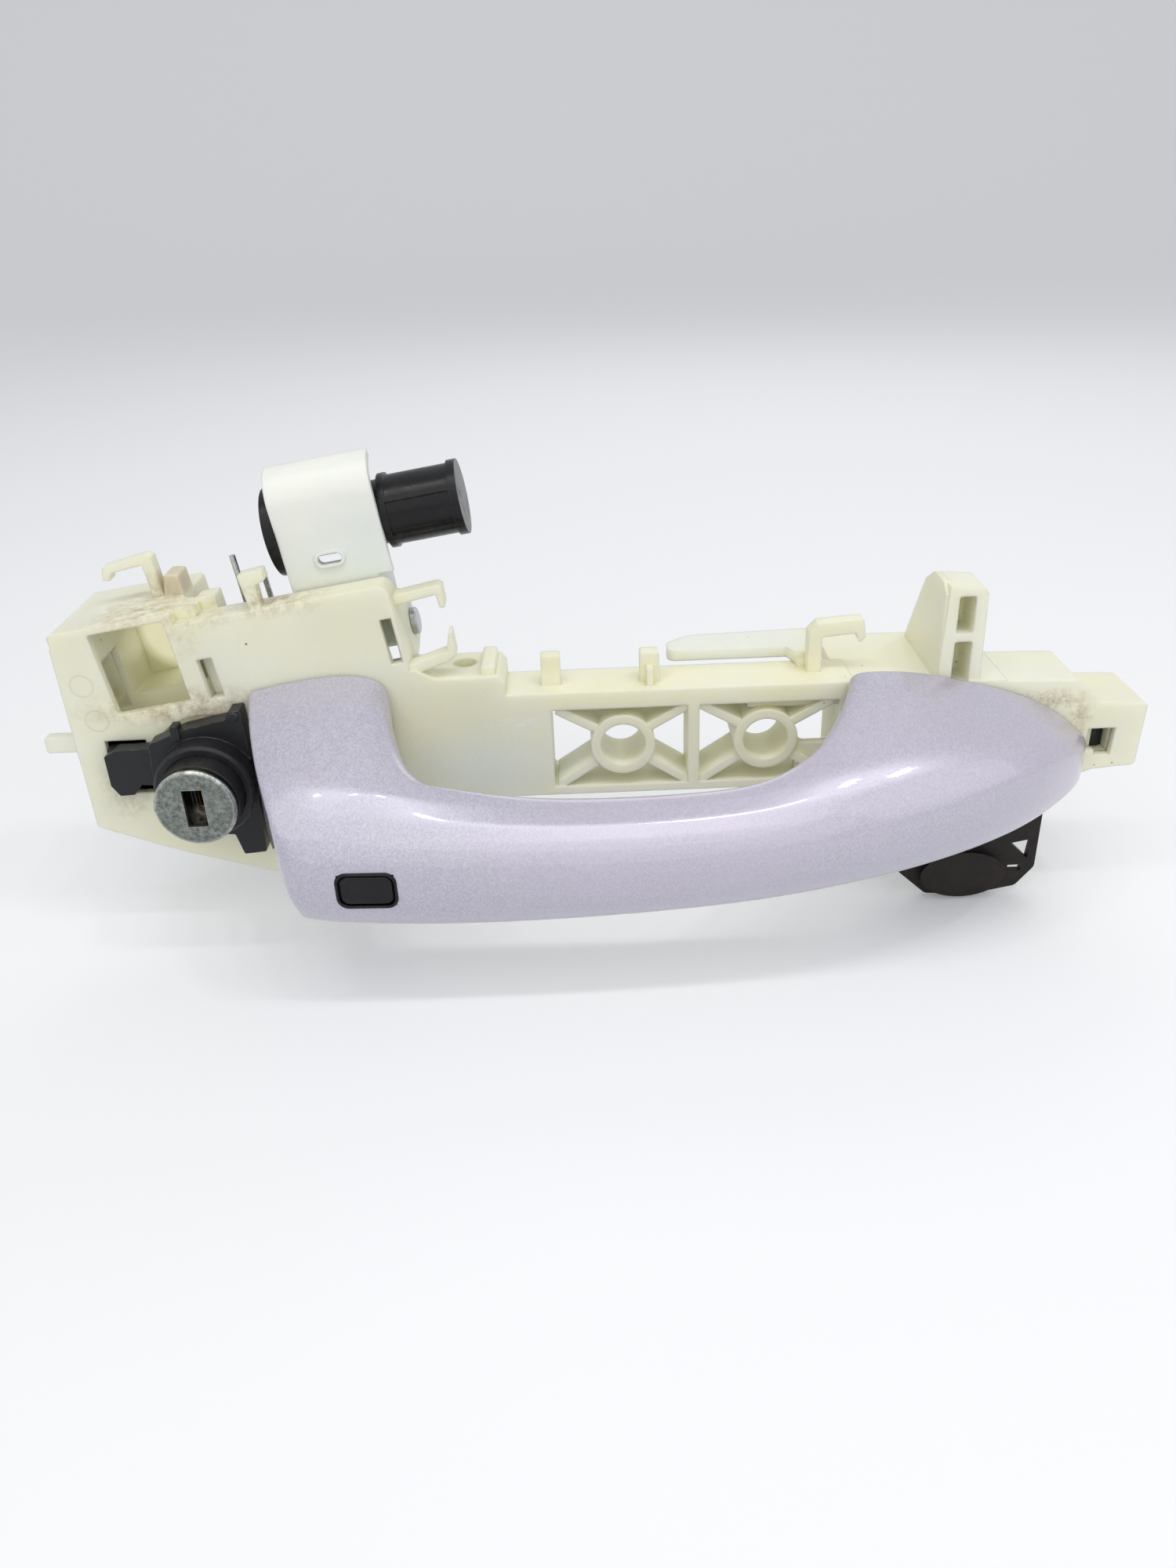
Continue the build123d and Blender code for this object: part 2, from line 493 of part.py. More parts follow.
# torsion spring round the pin, left of the hub
SPRING_R = 5.2
WIRE_R = 0.85
SPRING_START = LUG_LEFT + 5.6
SPRING_TURNS = 6
SPRING_END = HUB_LEFT - 1.4
# station, depth, foot and top of the two straight wire ends
SPRING_LEGS = ((-114.6, 15.2, PIVOT_Z + 1.0, 72.1), (SPRING_END, 27.0, PIVOT_Z - 2.0, 62.0))
with BuildPart() as lever_spring:
    pitch = (SPRING_END - SPRING_START) / (SPRING_TURNS + 0.62)
    for turn in range(SPRING_TURNS + 1):
        station = SPRING_START + pitch * turn
        with BuildSketch(side(station)) as ring:
            with Locations(PIVOT):
                Circle(SPRING_R + WIRE_R)
                Circle(SPRING_R - WIRE_R, mode=Mode.SUBTRACT)
        extrude(ring.sketch, amount=pitch * 0.62)
    with BuildSketch(side(SPRING_START)) as bridge:
        with Locations((PIVOT_Y, PIVOT_Z - SPRING_R)):
            Rectangle(WIRE_R * 1.6, WIRE_R * 1.6)
    extrude(bridge.sketch, amount=SPRING_END - SPRING_START)
    for station, depth, foot, top in SPRING_LEGS:
        root = (EX[0] * station - EX[2] * foot, depth, EX[2] * station + EX[0] * foot)
        with BuildSketch(Plane(origin=root, x_dir=EX, z_dir=(-EX[2], 0, EX[0]))) as leg:
            Circle(WIRE_R)
        extrude(leg.sketch, amount=top - foot)
save(lever_spring.part, "lever_spring")

BUMPER = (-93.0, 53.6)
with BuildPart() as stop_bumper:
    disc(tilted(SKIN), BUMPER, 3.2, 9.0)
    disc(tilted(SKIN), BUMPER, 4.4, 2.4)
save(stop_bumper.part, "stop_bumper")

# ---------------------------------------------------------------- key lock
HOUSING_T = 5.6
SLEEVE_END = 12.0
TAIL_END = 22.0
HOUSING_OUTLINE = [(-150.6, -3.0), (-149.8, 8.6), (-140.0, 12.6), (-127.6, 15.2), (-126.6, 17.4),
                   (-123.2, 17.8), (-122.8, 8.0), (-122.4, -14.0), (-123.0, -26.4), (-129.4, -27.0),
                   (-131.0, -20.4), (-146.2, -19.6)]
HOOKED_LUG = [(-163.0, 5.0), (-159.8, 6.8), (-149.0, 7.0), (-149.0, -4.4), (-154.4, -4.0),
              (-157.0, -7.0), (-161.0, -7.2), (-163.0, -4.0)]

with BuildPart() as lock_housing:
    slab(front(HOUSING_Y), HOUSING_OUTLINE, HOUSING_T, radius=0.6)
    disc(front(NECK_Y), (LOCK_X, LOCK_Z), NECK_R, -NECK_Y + HOUSING_Y + 1.0)
    chamfer(lock_housing.faces().sort_by(Axis.Y)[0].outer_wire().edges(), 0.7)
    slab(front(HOUSING_Y + 1.0), HOOKED_LUG, 4.4, radius=0.5)
    block(front(HOUSING_Y + 4.0), (-163.0, -7.0), (-158.6, 5.8), 4.0)
    block(front(HOUSING_Y - 1.2), (-142.6, 10.2), (-140.4, 14.4), 3.4, radius=0.4)
    disc(front(HOUSING_Y - 0.5), (-125.2, 16.0), 1.2, 2.0)
    disc(front(-1.4), (LOCK_X, LOCK_Z), NECK_R - 0.3, 1.2)
    disc(front(NECK_Y - 1), (LOCK_X, LOCK_Z), SLEEVE_R + 0.1, 16.0, Mode.SUBTRACT)
    disc(front(-4.6), HOUSING_SCREW, HOUSING_SCREW_R + 0.05, 5.0, Mode.SUBTRACT)
save(lock_housing.part, "lock_housing")

with BuildPart() as housing_screw:
    disc(front(-4.0), HOUSING_SCREW, HOUSING_SCREW_R, 4.0 + SKIN + 0.1)
    disc(front(SKIN + 0.1), HOUSING_SCREW, 3.0, 2.2)
    block(front(SKIN + 1.3), (-129.4, -23.0), (-124.6, -22.2), 2.0, Mode.SUBTRACT)
save(housing_screw.part, "housing_screw")

with BuildPart() as lock_sleeve:
    disc(front(PLUG_FACE_Y + PLUG_FACE_THICK + 0.1), (LOCK_X, LOCK_Z), SLEEVE_R,
         SLEEVE_END - PLUG_FACE_Y - PLUG_FACE_THICK - 0.1)
    disc(front(PLUG_FACE_Y), (LOCK_X, LOCK_Z), PLUG_R + RUN, SLEEVE_END - PLUG_FACE_Y + 1, Mode.SUBTRACT)
save(lock_sleeve.part, "lock_sleeve")

with BuildPart() as lock_plug:
    disc(front(PLUG_FACE_Y), (LOCK_X, LOCK_Z), PLUG_FACE_R, PLUG_FACE_THICK)
    chamfer(lock_plug.faces().sort_by(Axis.Y)[0].outer_wire().edges(), 0.6)
    disc(front(PLUG_FACE_Y + 1), (LOCK_X, LOCK_Z), PLUG_R, SLEEVE_END - PLUG_FACE_Y - 1)
    disc(front(SLEEVE_END), (LOCK_X, LOCK_Z), 3.0, TAIL_END - SLEEVE_END)
    block(front(PLUG_FACE_Y - 1), (LOCK_X - KEYWAY_W / 2, LOCK_Z - KEYWAY_H / 2),
          (LOCK_X + KEYWAY_W / 2, LOCK_Z + KEYWAY_H / 2), 1 + KEYWAY_DEPTH, Mode.SUBTRACT)
    block(front(PLUG_FACE_Y), (LOCK_X - 1.6, LOCK_Z - 4.4), (LOCK_X + 1.6, LOCK_Z + 4.4),
          KEY_DEPTH, Mode.SUBTRACT)
    for index in range(WAFER_COUNT):
        station = PLUG_FACE_Y + KEYWAY_DEPTH + 2.0 + index * WAFER_PITCH
        block(front(station), (LOCK_X - 3.0, LOCK_Z - PLUG_R), (LOCK_X + 3.0, LOCK_Z + PLUG_R),
              WAFER_T + 0.2, Mode.SUBTRACT)
    with BuildSketch(front(TAIL_END - 1.5)) as clip_groove:
        with Locations((LOCK_X, LOCK_Z)):
            Circle(4.0)
            Circle(2.3, mode=Mode.SUBTRACT)
    extrude(clip_groove.sketch, amount=-0.9, mode=Mode.SUBTRACT)
save(lock_plug.part, "lock_plug")

with BuildPart() as lock_wafers:
    for index in range(WAFER_COUNT):
        station = PLUG_FACE_Y + KEYWAY_DEPTH + 2.1 + index * WAFER_PITCH
        shift = (-1) ** index * 0.3
        block(front(station), (LOCK_X - 2.9, LOCK_Z - WAFER_HALF + shift),
              (LOCK_X + 2.9, LOCK_Z + WAFER_HALF + shift), WAFER_T)
        block(front(station - 0.1), (LOCK_X - 1.5, LOCK_Z - 3.9), (LOCK_X + 1.5, LOCK_Z + 3.9),
              WAFER_T + 0.2, Mode.SUBTRACT)
save(lock_wafers.part, "lock_wafers")

with BuildPart() as tail_lever:
    with BuildSketch(front(TAIL_END - 4.4)) as lever_face:
        with Locations((LOCK_X, LOCK_Z)):
            Circle(5.6)
        with Locations((LOCK_X, LOCK_Z - 20.0)):
            Circle(3.6)
        make_hull()
        with Locations((LOCK_X, LOCK_Z)):
            Circle(3.02, mode=Mode.SUBTRACT)
        with Locations((LOCK_X, LOCK_Z - 20.0)):
            Circle(1.8, mode=Mode.SUBTRACT)
    extrude(lever_face.sketch, amount=-2.6)
save(tail_lever.part, "tail_lever")

with BuildPart() as tail_clip:
    with BuildSketch(front(TAIL_END - 1.4)) as tail_clip_face:
        with Locations((LOCK_X, LOCK_Z)):
            Circle(4.6)
            Circle(2.3, mode=Mode.SUBTRACT)
        with Locations((LOCK_X, LOCK_Z - 3.0)):
            Rectangle(3.4, 6.0, mode=Mode.SUBTRACT)
    extrude(tail_clip_face.sketch, amount=-0.7)
save(tail_clip.part, "tail_clip")

with BuildPart() as lock_spring:
    for turn in range(4):
        with BuildSketch(front(SLEEVE_END + 0.8 + turn * 1.1)) as lock_ring:
            with Locations((LOCK_X, LOCK_Z)):
                Circle(4.9)
                Circle(3.9, mode=Mode.SUBTRACT)
        extrude(lock_ring.sketch, amount=-0.8)
    block(front(SLEEVE_END + 0.8), (LOCK_X - 0.45, LOCK_Z + 4.0), (LOCK_X + 0.45, LOCK_Z + 4.9), 4.0)
    block(front(SLEEVE_END + 0.8), (LOCK_X + 3.9, LOCK_Z), (LOCK_X + 4.8, LOCK_Z + 10.0), 0.8)
save(lock_spring.part, "lock_spring")

# ---------------------------------------------------------------- grip
# station x: height of the top edge at the back, ridge, most outward depth, lowest point
STATIONS = (
    (-126.0, 20.0, -3.5, -42.0, -26.5),
    (-105.0, 24.0, -1.0, -46.0, -29.0),
    (-88.0, 24.0, -1.0, -47.2, -30.3),
    (-70.0, 17.0, -2.0, -47.8, -31.0),
    (-45.0, 9.0, -3.2, -47.8, -31.0),
    (-15.0, 8.0, -3.6, -47.0, -30.2),
    (12.0, 11.0, -2.6, -45.8, -28.6),
    (35.0, 18.5, -0.4, -43.6, -26.2),
    (55.0, 19.5, 1.6, -39.4, -24.0),
    (75.0, 15.6, 3.0, -32.4, -21.6),
    (92.0, 10.2, 2.2, -22.6, -19.0),
    (103.0, 3.6, -1.4, -12.6, -16.6),
    (109.6, -2.6, -5.2, -5.6, -14.8),
)


CORNER_Z = -15.0              # where the bottom corner of the rear end starts to be cut back
# the rear end face: distance ahead of its back edge, at each depth
REAR_PROFILE = ((0.0, 5.0), (1.0, -8.0), (5.4, -24.0), (11.0, -40.0), (16.0, -55.0))


def cut_rear(inset):
    """Slanted rear end face of the grip."""
    with BuildSketch(Plane.XY.offset(-60)) as rear:
        with BuildLine():
            Polyline(*[(GRIP_REAR + inset + x, y) for x, y in REAR_PROFILE], (-140.0, -55.0),
                     (-140.0, 5.0), close=True)
        make_face()
    extrude(rear.sketch, amount=120, mode=Mode.SUBTRACT)
    # its bottom corner, cut back on a slant
    across = Vector(144, 50, 53).normalized()
    split(bisect_by=Plane(origin=Vector(GRIP_REAR + 5.4, -24.0, CORNER_Z) + across * inset,
                          z_dir=across), keep=Keep.TOP)


def grip_form(inset):
    """Solid of the grip without its hand opening, all round smaller by inset."""
    with BuildPart() as form:
        for x, back_top, ridge, out, low in STATIONS:
            reach = out - GRIP_BACK + inset
            high = ridge - inset
            lift = back_top - inset * 1.4
            base = low + inset
            height = high - base
            if x > 105.0 and inset:
                x = x - inset
            with BuildSketch(Plane.YZ.offset(x)):
                with BuildLine():
                    Spline((GRIP_BACK, lift),
                           (GRIP_BACK + 0.36 * reach, lift - 0.30 * (lift - high)),
                           (GRIP_BACK + 0.74 * reach, high + 0.32 * (lift - high)),
                           (GRIP_BACK + 0.93 * reach, high - 0.06 * height),
                           (GRIP_BACK + reach, high - 0.36 * height),
                           (GRIP_BACK + 0.98 * reach, high - 0.70 * height),
                           (GRIP_BACK + 0.88 * reach, base + 0.06 * height),
                           (GRIP_BACK + 0.60 * reach, base),
                           (GRIP_BACK, base + 3.0))
                    Line((GRIP_BACK, base + 3.0), (GRIP_BACK, lift))
                make_face()
        loft()
        cut_rear(inset)
    return form.part


GRIP_FRONT = -60.0            # a plane wholly outside the grip
WELL_DEPTH = 30.0
OPENING_PROFILE = [(-83.0, 6.0), (-82.4, -3.0), (-78.2, -22.0), (-70.0, STRAP_BACK), (14.0, STRAP_BACK),
                   (29.0, -24.0), (41.0, -3.0), (43.0, 6.0)]


def cut_opening():
    """Cut the space for the fingers."""
    with BuildSketch(Plane.XY.offset(-60)) as opening:
        with BuildLine():
            Polyline(*OPENING_PROFILE, close=True)
        make_face()
        fillet(opening.vertices().filter_by(lambda v: v.Y < -15), 7.0)
    extrude(opening.sketch, amount=120, mode=Mode.SUBTRACT)


def button_well(width, height):
    """Cut a rounded rectangle well for the request button."""
    with BuildSketch(front(GRIP_FRONT)) as well:
        with Locations((BUTTON_X, BUTTON_Z)):
            RectangleRounded(width, height, 2.4)
    extrude(well.sketch, amount=-WELL_DEPTH, mode=Mode.SUBTRACT)


BEZEL_OUT_W = BUTTON_W + 2 * (BEZEL_GAP + BEZEL_W)
BEZEL_OUT_H = BUTTON_H + 2 * (BEZEL_GAP + BEZEL_W)

outer_form = grip_form(0.0)
core_form = grip_form(GRIP_SHELL)
seat_form = grip_form(GRIP_SHELL + SEAM)

with BuildPart() as grip_outer:
    add(outer_form)
    add(core_form, mode=Mode.SUBTRACT)
    cut_opening()
    button_well(BEZEL_OUT_W + 0.2, BEZEL_OUT_H + 0.2)
save(grip_outer.part, "grip_outer")

ARM_SCREWS = ((-88.1, -7.0, -1.3), (-97.7, 10.0, -1.3), (86.6, -3.0, -1.1), (91.4, -3.0, -1.1))
ARM_SCREW_R = 1.25
ARM_SCREW_LENGTH = 9.0
ARM_SCREW_HEAD_R = 1.8
CELL_BACK = STRAP_BACK - 3.8
with BuildPart() as grip_inner:
    add(seat_form)
    cut_opening()
    # long cell in the strap for the aerial, and the cell behind the button
    block(front(-42.4), (-72.0, -20.2), (8.0, -9.8), 42.4 + CELL_BACK, Mode.SUBTRACT, radius=0.6)
    block(front(GRIP_FRONT), (-99.5, -25.4), (-75.0, BUTTON_Z + BEZEL_OUT_H / 2 + 0.6), 26.0,
          Mode.SUBTRACT, radius=1.0)
    # cored-out feet, open towards the door
    block(front(-28.0), (-116.0, -20.0), (-101.0, 10.0), 28.0, Mode.SUBTRACT, radius=2.0)
    block(front(-22.0), (48.0, -16.0), (66.0, 9.0), 22.0, Mode.SUBTRACT, radius=2.0)
    block(front(-14.0), (69.0, -15.0), (81.0, 6.0), 14.0, Mode.SUBTRACT, radius=2.0)
    # seats of the two arms
    block(front(-5.0), (-100.0, -11.6), (-86.0, 13.6), 5.0, Mode.SUBTRACT)
    block(front(-4.2), (83.6, -10.4), (98.2, 2.8), 4.2, Mode.SUBTRACT)
    for x, z, seat in ARM_SCREWS:
        disc(front(seat - ARM_SCREW_LENGTH - 0.3), (x, z), ARM_SCREW_R + RUN, ARM_SCREW_LENGTH,
             Mode.SUBTRACT)
save(grip_inner.part, "grip_inner")

with BuildPart() as rear_arm:
    block(front(-4.9), (-99.8, -11.4), (-86.2, 13.4), 3.6, radius=1.0)
    block(front(-4.9), (-97.0, -9.6), (-90.0, -4.4), 4.9 + BAR_Y + BAR_R + GAP + 3.2)
    block(front(BAR_Y + BAR_R + GAP), (-97.0, -9.6), (-90.0, 9.4), 3.2, radius=0.8)
    slab(front(-4.9), [(-97.0, -4.6), (-90.0, -4.6), (-90.0, 2.0), (-97.0, 2.0)], 7.0)
    for x, z, seat in ARM_SCREWS[:2]:
        disc(front(-6.0), (x, z), ARM_SCREW_R + 0.1, 6.0, Mode.SUBTRACT)
save(rear_arm.part, "rear_arm")

with BuildPart() as front_arm:
    block(front(-4.1), (83.8, -10.2), (98.0, 2.6), 3.0, radius=0.8)
    block(front(-4.1), (94.0, -9.4), (98.0, 1.8), 4.1 + HINGE_Y + 1.6)
    block(front(HINGE_Y - 2.0), (94.0, -9.4), (HINGE_X, 3.4), 3.6)
    with BuildSketch(Plane.XY.offset(TRUNNION_BOTTOM)) as trunnion:
        with Locations((HINGE_X, HINGE_Y)):
            Circle(TRUNNION_R)
    extrude(trunnion.sketch, amount=TRUNNION_TOP - TRUNNION_BOTTOM)
    for x, z, seat in ARM_SCREWS[2:]:
        disc(front(-6.0), (x, z), ARM_SCREW_R + 0.1, 6.0, Mode.SUBTRACT)
save(front_arm.part, "front_arm")

with BuildPart() as arm_screws:
    for x, z, seat in ARM_SCREWS:
        disc(front(seat - ARM_SCREW_LENGTH), (x, z), ARM_SCREW_R, ARM_SCREW_LENGTH)
        disc(front(seat), (x, z), ARM_SCREW_HEAD_R, 0.9)
save(arm_screws.part, "arm_screws")

with BuildPart() as button_bezel:
    with BuildSketch(front(BUTTON_FACE_Y - 0.2)) as bezel_face:
        with Locations((BUTTON_X, BUTTON_Z)):
            RectangleRounded(BEZEL_OUT_W, BEZEL_OUT_H, 3.0)
            RectangleRounded(BUTTON_W + 2 * BEZEL_GAP, BUTTON_H + 2 * BEZEL_GAP, 2.4,
                             mode=Mode.SUBTRACT)
    extrude(bezel_face.sketch, amount=-6.4)
save(button_bezel.part, "button_bezel")

with BuildPart() as request_button:
    with BuildSketch(front(BUTTON_FACE_Y)) as cap_face:
        with Locations((BUTTON_X, BUTTON_Z)):
            RectangleRounded(BUTTON_W, BUTTON_H, 2.2)
    extrude(cap_face.sketch, amount=-3.6)
    fillet(request_button.faces().sort_by(Axis.Y)[0].edges(), 0.7)
    disc(front(BUTTON_FACE_Y + 3.0), (BUTTON_X, BUTTON_Z), 1.6, 2.6)
save(request_button.part, "request_button")

SWITCH_Y = BUTTON_FACE_Y + 5.6 + BUTTON_TRAVEL + 0.3
with BuildPart() as push_switch:
    block(front(SWITCH_Y), (BUTTON_X - 3.0, BUTTON_Z - 3.0), (BUTTON_X + 3.0, BUTTON_Z + 3.0),
          3.0, radius=0.4)
save(push_switch.part, "push_switch")

with BuildPart() as sensor_board:
    block(front(SWITCH_Y + 3.0), (-99.0, -25.0), (-75.6, -10.4), 1.2)
save(sensor_board.part, "sensor_board")

with BuildPart() as switch_dome:
    with BuildSketch(front(SWITCH_Y - 0.25)) as dome_face:
        with Locations((BUTTON_X, BUTTON_Z)):
            Circle(2.2)
    extrude(dome_face.sketch, amount=-0.25)
save(switch_dome.part, "switch_dome")

AERIAL_Y = -40.6
with BuildPart() as aerial_core:
    block(front(AERIAL_Y), (-70.0, -19.0), (6.0, -11.0), 5.6)
save(aerial_core.part, "aerial_core")

with BuildPart() as aerial_coil:
    for start in (-62.0, -40.0, -18.0):
        with BuildSketch(Plane.YZ.offset(start)) as winding:
            with Locations((AERIAL_Y + 2.8, -15.0)):
                RectangleRounded(7.4, 9.8, 0.8)
                Rectangle(5.7, 8.1, mode=Mode.SUBTRACT)
        extrude(winding.sketch, amount=16.0)
save(aerial_coil.part, "aerial_coil")

# ---------------------------------------------------------------- front gasket, hung under the grip's foot
with BuildPart() as front_gasket:
    with BuildSketch(front(0.2)) as pad:
        with BuildLine():
            Polyline((56.0, GASKET_TOP - 1), (90.0, GASKET_TOP - 1), (90.0, -16.0), (98.0, -18.0),
                     (102.0, -24.0), (102.0, -46.0), (97.0, -52.4), (84.0, -55.0), (70.0, -54.0),
                     (57.0, -42.0), close=True)
        make_face()
        fillet(pad.vertices().sort_by(Axis.Y)[:6], 2.5)
    extrude(pad.sketch, amount=-GASKET_T)
    with BuildSketch(front(-2.4)) as lobe:
        with Locations((80.0, -46.4)):
            Ellipse(12.6, 7.6)
    extrude(lobe.sketch, amount=-4.2, taper=22)
    block(front(-6), (61.0, -32.0), (90.0, -10.0), 12.0, Mode.SUBTRACT, radius=2.0)
    slab(front(-6), [(94.0, -37.6), (100.0, -36.4), (99.4, -43.0)], 12.0, Mode.SUBTRACT)
    block(front(-6), (94.0, -47.4), (98.0, -45.2), 12.0, Mode.SUBTRACT)
save(front_gasket.part, "front_gasket")
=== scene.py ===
from math import cos, pi, radians, sin
import bpy
import bmesh
from mathutils import Matrix, Vector


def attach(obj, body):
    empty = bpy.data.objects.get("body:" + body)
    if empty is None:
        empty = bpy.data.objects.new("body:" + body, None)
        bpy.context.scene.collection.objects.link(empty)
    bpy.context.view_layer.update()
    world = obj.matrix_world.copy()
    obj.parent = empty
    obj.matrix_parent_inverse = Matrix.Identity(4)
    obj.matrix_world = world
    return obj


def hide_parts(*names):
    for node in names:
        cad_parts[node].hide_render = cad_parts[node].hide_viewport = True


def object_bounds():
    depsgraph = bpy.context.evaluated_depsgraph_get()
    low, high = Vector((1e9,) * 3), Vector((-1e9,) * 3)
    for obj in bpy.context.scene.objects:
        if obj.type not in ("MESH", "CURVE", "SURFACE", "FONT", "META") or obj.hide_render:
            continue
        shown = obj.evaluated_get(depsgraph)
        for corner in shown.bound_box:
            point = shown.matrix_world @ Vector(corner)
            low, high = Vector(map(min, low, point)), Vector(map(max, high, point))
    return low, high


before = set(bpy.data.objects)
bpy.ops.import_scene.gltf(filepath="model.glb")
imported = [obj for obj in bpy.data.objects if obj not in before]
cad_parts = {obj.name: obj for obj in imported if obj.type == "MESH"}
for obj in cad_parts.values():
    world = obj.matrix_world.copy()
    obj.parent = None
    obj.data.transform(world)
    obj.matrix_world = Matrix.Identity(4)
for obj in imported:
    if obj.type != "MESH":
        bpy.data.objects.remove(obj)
cad_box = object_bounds()
MM = 0.001

# ---------------------------------------------------------------- camera
CAMERA_PLACE = Vector((-0.0303, -0.2961, 0.1461))
CAMERA_RIGHT = Vector((0.9992, -0.0189, -0.0354))
CAMERA_UP = Vector((0.0401, 0.4706, 0.8814))


def add_camera():
    data = bpy.data.cameras.new("camera")
    data.lens = 27.0
    data.sensor_width = 36.0
    data.clip_start = 0.01
    camera = bpy.data.objects.new("camera", data)
    bpy.context.scene.collection.objects.link(camera)
    right = CAMERA_RIGHT.normalized()
    back = right.cross(CAMERA_UP).normalized()
    up = back.cross(right).normalized()
    turn = Matrix((right, up, back)).transposed().to_4x4()
    camera.matrix_world = Matrix.Translation(CAMERA_PLACE) @ turn
    bpy.context.scene.camera = camera


# ---------------------------------------------------------------- finishes
class Finish:
    """A procedural material while it is wired up. Every pattern reads Object coordinates."""

    def __init__(self, name, colour, roughness, metallic=0.0):
        self.material = bpy.data.materials.new(name)
        self.material.use_nodes = True
        self.tree = self.material.node_tree
        self.shader = self.tree.nodes["Principled BSDF"]
        self.set("Base Color", (*colour, 1))
        self.set("Roughness", roughness)
        self.set("Metallic", metallic)
        self.place = self.add("ShaderNodeTexCoord").outputs["Object"]
        self.rounded = None

    def set(self, socket, value):
        self.shader.inputs[socket].default_value = value

    def add(self, kind, **settings):
        node = self.tree.nodes.new(kind)
        for key, value in settings.items():
            setattr(node, key, value)
        return node

    def feed(self, node, index, value):
        """Put a number, a vector or another node's output into a socket."""
        socket = node.inputs[index]
        if isinstance(value, bpy.types.NodeSocket):
            self.tree.links.new(value, socket)
        else:
            socket.default_value = value

    def drive(self, socket, value):
        self.tree.links.new(value, self.shader.inputs[socket])

    def maths(self, operation, first, second=0.0):
        node = self.add("ShaderNodeMath", operation=operation)
        self.feed(node, 0, first)
        self.feed(node, 1, second)
        return node.outputs[0]

    def scaled(self, stretch):
        """The piece's coordinates stretched along its axes."""
        node = self.add("ShaderNodeMapping")
        self.feed(node, 0, self.place)
        node.inputs["Scale"].default_value = stretch
        return node.outputs[0]

    def noise(self, scale, detail=4.0, rough=0.55, vector=None, warp=0.0):
        node = self.add("ShaderNodeTexNoise")
        self.feed(node, 0, vector or self.place)
        node.inputs["Scale"].default_value = scale
        node.inputs["Detail"].default_value = detail
        node.inputs["Roughness"].default_value = rough
        node.inputs["Distortion"].default_value = warp
        return node.outputs[0]

    def cells(self, scale, output="Color", feature="F1"):
        node = self.add("ShaderNodeTexVoronoi", feature=feature)
        self.feed(node, 0, self.place)
        node.inputs["Scale"].default_value = scale
        return node.outputs[output]

    def between(self, value, low, high, start=0.0, end=1.0):
        """Spread the part of a value that lies between low and high over start to end."""
        node = self.add("ShaderNodeMapRange", clamp=True)
        self.feed(node, 0, value)
        for index, number in enumerate((low, high, start, end), 1):
            node.inputs[index].default_value = number
        return node.outputs[0]

    def blend(self, amount, first, second):
        node = self.add("ShaderNodeMix", data_type="RGBA")
        self.feed(node, 0, amount)
        for index, colour in ((6, first), (7, second)):
            if not isinstance(colour, bpy.types.NodeSocket):
                colour = (*colour, 1)
            self.feed(node, index, colour)
        return node.outputs[2]

    def near(self, centre, reach, soft=0.5):
        """1 inside an ellipsoid about centre, fading to 0 at its surface; all in millimetres."""
        shift = self.add("ShaderNodeVectorMath", operation="SUBTRACT")
        self.feed(shift, 0, self.place)
        self.feed(shift, 1, [value * MM for value in centre])
        shrink = self.add("ShaderNodeVectorMath", operation="DIVIDE")
        self.feed(shrink, 0, shift.outputs[0])
        self.feed(shrink, 1, [value * MM for value in reach])
        length = self.add("ShaderNodeVectorMath", operation="LENGTH")
        self.feed(length, 0, shrink.outputs[0])
        return self.between(length.outputs["Value"], 1.0 - soft, 1.0, 1.0, 0.0)

    def round_off(self, radius):
        """Shade edges as if they were rounded to radius, in millimetres."""
        self.rounded = self.add("ShaderNodeBevel", samples=6)
        self.rounded.inputs["Radius"].default_value = radius * MM

    def worn_edges(self, radius=0.5, low=0.03, high=0.2):
        """1 along edges, where the rounded and the flat shading differ."""
        soft = self.add("ShaderNodeBevel", samples=6)
        soft.inputs["Radius"].default_value = radius * MM
        compare = self.add("ShaderNodeVectorMath", operation="DOT_PRODUCT")
        self.feed(compare, 0, soft.outputs[0])
        self.feed(compare, 1, self.add("ShaderNodeNewGeometry").outputs["Normal"])
        return self.between(compare.outputs["Value"], 1.0 - high, 1.0 - low, 1.0, 0.0)

    def relief(self, height, distance, strength=1.0):
        node = self.add("ShaderNodeBump")
        node.inputs["Strength"].default_value = strength
        node.inputs["Distance"].default_value = distance
        self.feed(node, "Height", height)
        if self.rounded:
            self.feed(node, "Normal", self.rounded.outputs[0])
        self.drive("Normal", node.outputs[0])

    def grease(self, amount, spread):
        """Mottled dirt: a mask broken up by noise."""
        spots = self.between(self.noise(spread, 8.0, 0.7), 0.42, 0.62)
        return self.maths("MULTIPLY", amount, spots)


# the deep pocket of the rear block, where a painted glow stands in for daylight coming through its
# thin walls, in millimetres
POCKET_MIDDLE = (-149.7, 26.0, 28.4)
POCKET_REACH = (11.6, 30.0, 12.8)
POCKET_BACK = 32.0             # just behind its floor


